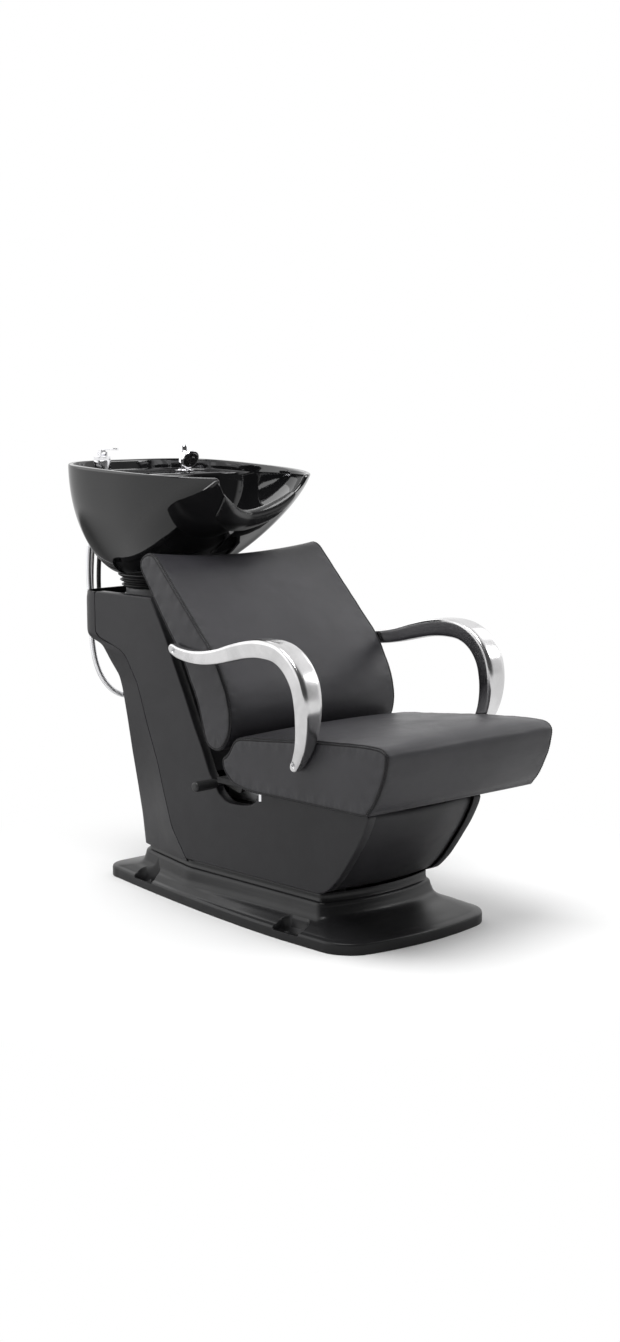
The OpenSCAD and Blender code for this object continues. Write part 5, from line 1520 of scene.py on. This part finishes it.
    def window(self) -> bpy.types.Object:
        """The block with rounded edges that cuts the service window under the tap shelf."""
        low, high = 800, self.shelf_z - self.shelf_t
        piece = new_piece("tool", [], [])
        bm = bmesh.new()
        bmesh.ops.create_cube(bm, size=1.0)
        size = (2 * (self.tap_x + 31) * MM, 200 * MM, (high - low) * MM, 1)
        middle = Vector((0, self.shelf_front + 120, (low + high) / 2)) * MM
        box = Matrix.Translation(middle) @ Matrix.Diagonal(size)
        bmesh.ops.transform(bm, matrix=box, verts=bm.verts)
        bmesh.ops.bevel(bm, geom=list(bm.edges), offset=9 * MM, segments=5, profile=0.5, affect="EDGES")
        bm.to_mesh(piece.data)
        bm.free()
        return piece

    def neck_pad(self) -> bpy.types.Object:
        """The rubber saddle on the cut-out's edge: the basin's own lines, thickened along set directions."""
        a = np.radians(np.linspace(158, 202, 31))
        lines = [self.outer(a, v) for v in (0.26, 0.16, 0.07, 0)]
        lines += [self.inner_rim(a), self.shelf_edge(a), self.cavity(a, 0.06)]
        s, c, one = np.sin(a), np.cos(a), np.ones_like(a)
        ways = [np.stack([s, c, -0.75 * one], 1)] * 3 + [np.stack([s, c, 0.5 * one], 1),
                np.stack([-0.4 * s, -0.4 * c, one], 1)] + [np.stack([-s, -c, 0.5 * one], 1)] * 2
        thick = self.rest_roll * np.array([0.13, 0.62, 0.92, 1, 0.74, 0.44, 0.13])
        away = np.minimum(np.arange(31), 30 - np.arange(31)) / 6.5
        full = 0.3 + 0.7 * np.sin(np.clip(away, 0, 1) * math.pi / 2)
        outer, inner = [], []
        for line, way, t in zip(lines, ways, thick):
            way = unit(way)
            inner.append(line + way * self.rest_lift)
            outer.append(line + way * (self.rest_lift + t * full[:, None]))
        loop = np.array(outer + inner[::-1])
        return finer(loft("neck_saddle", np.transpose(loop, (1, 0, 2)) * MM), 2)

    def boot(self) -> bpy.types.Object:
        """The rubber bellows under the basin: a smooth folded profile with a 5 mm wall, turned round."""
        low = 710.3
        h = self.foot_z - 0.3 - low
        out = np.array([(90, 0), (92, 0.07), (97, 0.18), (92.5, 0.28), (91, 0.35), (98, 0.45), (101, 0.53),
                        (97, 0.61), (95, 0.69), (101, 0.8), (105, 0.89), (105, 1)])
        inn = np.array([(95, 1), (95, 0.86), (89, 0.67), (94.5, 0.52), (86, 0.36), (90.5, 0.18), (84, 0)])
        curve = np.vstack([catmull(out, 4), inn]) * [1, h]
        return revolve("neck_bellows", curve, (0, self.hinge_y, low))

    def build(self, dresser: Dresser) -> None:
        """Makes and dresses the basin and its fittings."""
        dresser.hand(self.bowl(), "basin")
        dresser.hand(self.neck_pad(), "neck_rest", material=dresser.neck)
        dresser.hand(self.boot(), "neck_boot",
                     bend=("stand", "basin_unit", (0, 0.454, 0.712), (0, 0.454, 0.742)))
        for node, width in (("drain_strainer", 0.6), ("basin_bracket", 1.0), ("hinge_pins", 0.5),
                            ("waste_tail", 0.4), ("tap_nuts", 0.7), ("mixer_body", 1.2), ("mixer_cap", 0.8),
                            ("mixer_pin", 0.4), ("mixer_lever", 1.0), ("shower_holder", 1.0),
                            ("hand_shower", 0.6), ("spray_face", 0.5)):
            dresser.refined(node, width, 40 if node in ("hand_shower", "mixer_lever") else 30)
        self.nozzles(dresser)

    def nozzles(self, dresser: Dresser) -> None:
        """Rubber nozzles in two rings on the spray face: small domes r cos b, r sin b."""
        turn = np.array(Matrix.Rotation(math.radians(180 - self.shower_tilt), 3, "X"))
        b, a = np.radians(np.linspace(0, 80, 4)), np.arange(8) * math.pi / 4
        ring = [np.outer(np.cos(b), way).ravel() * 1.1 for way in (np.cos(a), np.sin(a))]
        dome = np.stack([*ring, np.repeat(np.sin(b) * 1.3, 8)], 1)
        places = [(r * math.cos(t), r * math.sin(t), on) for r, on, count in ((14.6, 2.8, 16), (6.0, 4.9, 7))
                  for t in np.arange(count) * 2 * math.pi / count]
        faces = []
        for first in range(0, 32 * len(places), 32):
            faces += (quads(4, 8, False, True) + first).tolist()
            faces += [list(range(first + 24, first + 32)), list(range(first + 7, first - 1, -1))]
        face = [self.tap_x, self.spray_y, self.shelf_z + self.spray_up]
        at = np.vstack([dome + place for place in places]) @ turn.T + face
        dresser.hand(outward(new_piece("spray_nozzles", at * MM, faces)), body="shower", slot="rubber")


@dataclass
class Hoses:
    """The shower hose and the two supply hoses, on the CAD's own routes in metres."""

    shower_d: float = 0.014
    supply_d: float = 0.011
    pitch: float = 0.0042
    samples_per_turn: int = 5
    spiral_sides: int = 16
    braid_sides: int = 24
    shower: tuple = ((-0.127, 0.515, 0.934), (-0.127, 0.516, 0.915), (-0.127, 0.522, 0.892),
                     (-0.127, 0.536, 0.868), (-0.127, 0.556, 0.842), (-0.127, 0.572, 0.812),
                     (-0.125, 0.581, 0.776), (-0.122, 0.586, 0.736), (-0.119, 0.587, 0.692),
                     (-0.117, 0.587, 0.646), (-0.116, 0.587, 0.602), (-0.114, 0.586, 0.562),
                     (-0.107, 0.585, 0.522), (-0.092, 0.584, 0.484), (-0.067, 0.583, 0.452),
                     (-0.036, 0.582, 0.432), (0, 0.582, 0.425))
    holder: tuple = ((0.127, 0.515, 0.94), (0.127, 0.515, 0.97))
    supply: tuple = ((0.528, 0.934), (0.532, 0.912), (0.544, 0.886), (0.562, 0.858), (0.58, 0.828),
                     (0.592, 0.794), (0.598, 0.758), (0.6, 0.728), (0.6, 0.704), (0.6, 0.684),
                     (0.5985, 0.6726), (0.5941, 0.662), (0.5871, 0.6529), (0.578, 0.6459),
                     (0.5674, 0.6415), (0.556, 0.64), (0.547, 0.64), (0.538, 0.64))
    hot_x: tuple = (-0.12, -0.118, -0.114, -0.11, -0.107, -0.105, -0.104)
    cold_x: tuple = (-0.106, -0.102, -0.096, -0.09, -0.086, -0.083, -0.082)

    def shower_line(self) -> Points:
        """The shower hose's route: down behind the column, round and up into the holder."""
        half = np.array(self.shower)
        return catmull(np.vstack([half, half[-2:0:-1] * [-1, 1, 1], self.holder]), 8)

    def supply_line(self, across: tuple) -> Points:
        """A supply hose's route from its X, the last of which holds on to the end."""
        rest = len(self.supply) - len(across)
        return catmull(np.column_stack([across + across[-1:] * rest, self.supply]), 10)

    @staticmethod
    def declare(piece: bpy.types.Object, line: Points, diameter: float) -> None:
        """Takes a hose piece, its route and its diameter, and does nothing with them."""

    def spiral(self, line: Points) -> bpy.types.Object:
        """The interlocked metal hose: its radius is highest along a spiral, cos(2 pi s / pitch - a)."""
        dense = spaced(line, self.pitch / self.samples_per_turn)
        a = np.arange(self.spiral_sides) * 2 * math.pi / self.spiral_sides
        wave = np.cos(2 * math.pi * lengths(dense)[:, None] / self.pitch - a[None])
        radius = self.shower_d / 2 * (0.955 + 0.045 * np.clip(wave * 1.6, -1, 1))
        return loft("shower_hose_spiral", tube_grid(dense, radius, self.spiral_sides))

    def braided(self, name: str, line: Points) -> bpy.types.Object:
        """A braided hose with a UV map whose U is the length in metres and V the share of a turn."""
        piece = loft(name, tube_grid(line, self.supply_d / 2, self.braid_sides))
        at = coords(piece)
        near = nearest(at, line)[1]
        t = tangents(line)
        side = unit(np.cross(t, ASIDE))
        up = np.cross(t, side)
        off = at - line[near]
        turn = np.arctan2((off * up[near]).sum(1), (off * side[near]).sum(1)) / (2 * math.pi) % 1
        loops = np.empty(len(piece.data.loops), int)
        piece.data.loops.foreach_get("vertex_index", loops)
        total = np.empty(len(piece.data.polygons), int)
        piece.data.polygons.foreach_get("loop_total", total)
        u, v = lengths(line)[near][loops], turn[loops]
        owner = np.repeat(np.arange(len(total)), total)
        high, low = np.zeros(len(total)), np.ones(len(total))
        np.maximum.at(high, owner, v)
        np.minimum.at(low, owner, v)
        v = np.where(((high - low) > 0.5)[owner] & (v < 0.5), v + 1, v)
        layer = piece.data.uv_layers.new(name="along")
        layer.data.foreach_set("uv", np.stack([u, v], 1).ravel().astype(np.float32))
        return piece

    def build(self, dresser: Dresser) -> None:
        line = self.shower_line()
        piece = self.spiral(line)
        dresser.hand(piece, "shower_hose",
                     bend=("basin_unit", "shower", (0.01, 0.5, 0.82), (0.13, 0.5, 0.94)))
        self.declare(piece, line, self.shower_d)
        for name, node, across in (("supply_hose_steel", "supply_hose_hot", self.hot_x),
                                   ("supply_hose_black", "supply_hose_cold", self.cold_x)):
            line = self.supply_line(across)
            piece = self.braided(name, line)
            dresser.hand(piece, node, bend=("stand", "basin_unit", (0, 0.55, 0.70), (0, 0.55, 0.92)))
            self.declare(piece, line, self.supply_d)


# ---------------------------------------------------------------- studio

@dataclass
class Studio:
    """Camera at the photograph's angle, soft lamps and a pale floor."""

    camera_at: tuple[float, float, float] = (-3.003, -3.379, 1.183)
    yaw: float = 42.372
    pitch: float = 8.818
    roll: float = -0.23
    focal_px: float = 1980.9
    frame_px: tuple[int, int] = (620, 1342)
    shift_px: float = 27
    sensor: float = 36
    floor_half: float = 40
    floor_seen: float = 0.9
    floor_lights: float = 0.58
    fade: tuple[float, float] = (0.5, 1.15)
    dim_at: tuple[float, float, float] = (0.9, 2.6, 0)
    dim_edge: tuple[float, float] = (1.3, 2.2)
    dark_way: tuple[float, float, float] = (-0.62, -0.75, 0.12)
    strip_way: tuple[float, float, float] = (-0.8, 0.56, 0.2)
    lamps: tuple = (("key", (-0.9, -0.5, 3.3), (2.0, 1.4), 84, (0, -0.1, 0.6)),
                    ("side", (3.1, -0.2, 2.2), (1.4, 2.4), 9, (0, 0, 0.5)),
                    ("front", (2.2, -1.9, 2.1), (0.8, 0.8), 12, (0, 0.1, 0.7)),
                    ("back", (0.6, 3.0, 2.4), (3.0, 1.4), 15, (0, 0.2, 0.8)))

    def camera(self) -> None:
        """Places the camera: its direction is (sin yaw cos pitch, cos yaw cos pitch, -sin pitch)."""
        data = bpy.data.cameras.new("camera")
        data.sensor_fit = "VERTICAL"
        data.sensor_height = self.sensor
        data.lens = self.focal_px * self.sensor / self.frame_px[1]
        data.shift_y = self.shift_px / self.frame_px[1]
        data.clip_end = 60
        camera = bpy.data.objects.new("camera", data)
        yaw, pitch = math.radians(self.yaw), math.radians(self.pitch)
        way = Vector((math.sin(yaw) * math.cos(pitch), math.cos(yaw) * math.cos(pitch), -math.sin(pitch)))
        turn = way.to_track_quat("-Z", "Y").to_matrix().to_4x4()
        camera.matrix_world = (Matrix.Translation(self.camera_at) @ turn
                               @ Matrix.Rotation(math.radians(self.roll), 4, "Z"))
        bpy.context.scene.collection.objects.link(camera)
        bpy.context.scene.camera = camera

    @staticmethod
    def lamp(name: str, at: tuple, size: tuple, power: float, aim: tuple) -> None:
        """Adds a soft rectangular lamp that faces a point.

        Args:
            name: The lamp's name.
            at: Place in metres.
            size: Width and height in metres.
            power: Watts.
            aim: Point that it faces.
        """
        data = bpy.data.lights.new(name, "AREA")
        data.shape = "RECTANGLE"
        data.size, data.size_y = size
        data.energy = power
        light = bpy.data.objects.new(name, data)
        light.location = at
        light.rotation_euler = (Vector(aim) - Vector(at)).to_track_quat("-Z", "Y").to_euler()
        bpy.context.scene.collection.objects.link(light)

    def floor(self) -> None:
        """A wide pale floor that keeps the shadow near the object and fades to white further out.

        Glossy rays see it glow white, a painted reflection that is dimmer round a place behind the object.
        """
        w = self.floor_half
        piece = new_piece("floor", [(-w, -w, 0), (w, -w, 0), (w, w, 0), (-w, w, 0)], [(0, 1, 2, 3)], False)
        made = bpy.data.materials.new("floor")
        sheet = blank(made)
        path = sheet.add("LightPath").outputs
        place = sheet.add("TexCoord").outputs["Object"]
        grey = sheet.mixed(path["Is Camera Ray"], (*[self.floor_lights] * 3, 1), (*[self.floor_seen] * 3, 1))
        plain = sheet.add("BsdfDiffuse", {"Color": grey}).outputs[0]
        # For glossy rays the floor glows white: a painted reflection, dimmer round dim_at behind the object.
        behind = sheet.ramp(sheet.vectors("DISTANCE", place, self.dim_at, "Value"), *self.dim_edge)
        glow = sheet.maths("MULTIPLY_ADD", behind, 0.75, -0.8)
        level = sheet.maths("MULTIPLY_ADD", path["Is Glossy Ray"], glow, 1.0)
        white = sheet.add("Emission", {"Color": (1, 1, 1, 1), "Strength": level}).outputs[0]
        fade = sheet.ramp(sheet.vectors("LENGTH", place, (0, 0, 0), "Value"), *self.fade)
        seen = sheet.maths("MAXIMUM", path["Is Camera Ray"], path["Is Glossy Ray"])
        both = sheet.add("MixShader", {0: sheet.maths("MULTIPLY", fade, seen), 1: plain, 2: white}).outputs[0]
        sheet.add("OutputMaterial", {"Surface": both})
        piece.data.materials.append(made)

    def world(self) -> None:
        """White for the camera; for the object a soft room, darker on the camera's side.

        Glossy rays see it darker still there, and brighter in a strip on the camera's left.
        """
        world = bpy.data.worlds.new("room")
        bpy.context.scene.world = world
        sheet = blank(world)
        path = sheet.add("LightPath").outputs
        way = sheet.add("TexCoord").outputs["Generated"]
        toward = sheet.vectors("DOT_PRODUCT", way, self.dark_way, "Value")
        strip = sheet.vectors("DOT_PRODUCT", way, self.strip_way, "Value")
        soft = sheet.maths("MULTIPLY_ADD", sheet.ramp(toward, -0.1, 0.7), -0.5, 0.82)
        flag = sheet.maths("MULTIPLY_ADD", sheet.ramp(toward, -0.1, 0.4), -0.93, 1.0)
        shine = sheet.maths("MULTIPLY_ADD", sheet.ramp(strip, 0.72, 0.9), 0.9, flag)
        level = soft
        for ray, value in (("Is Glossy Ray", shine), ("Is Camera Ray", 1.0)):
            level = sheet.add("Mix", {0: path[ray], 2: level, 3: value}, data_type="FLOAT").outputs[0]
        sky = sheet.add("Background", {"Color": (1, 1, 1, 1), "Strength": level}).outputs[0]
        sheet.add("OutputWorld", {"Surface": sky})

    def build(self) -> None:
        """Sets up the studio."""
        self.camera()
        self.floor()
        self.world()
        for lamp in self.lamps:
            self.lamp(*lamp)
        bpy.context.scene.view_settings.view_transform = "Standard"


def main() -> None:
    logging.basicConfig(level=logging.INFO, format="%(message)s")
    Studio().build()
    dresser = Dresser()
    dresser.kept()
    Hoses().build(dresser)
    Stand().build(dresser)
    Chair().build(dresser)
    Basin().build(dresser)
    LOG.info("%d pieces made", dresser.count)


if __name__ == "__main__":
    main()
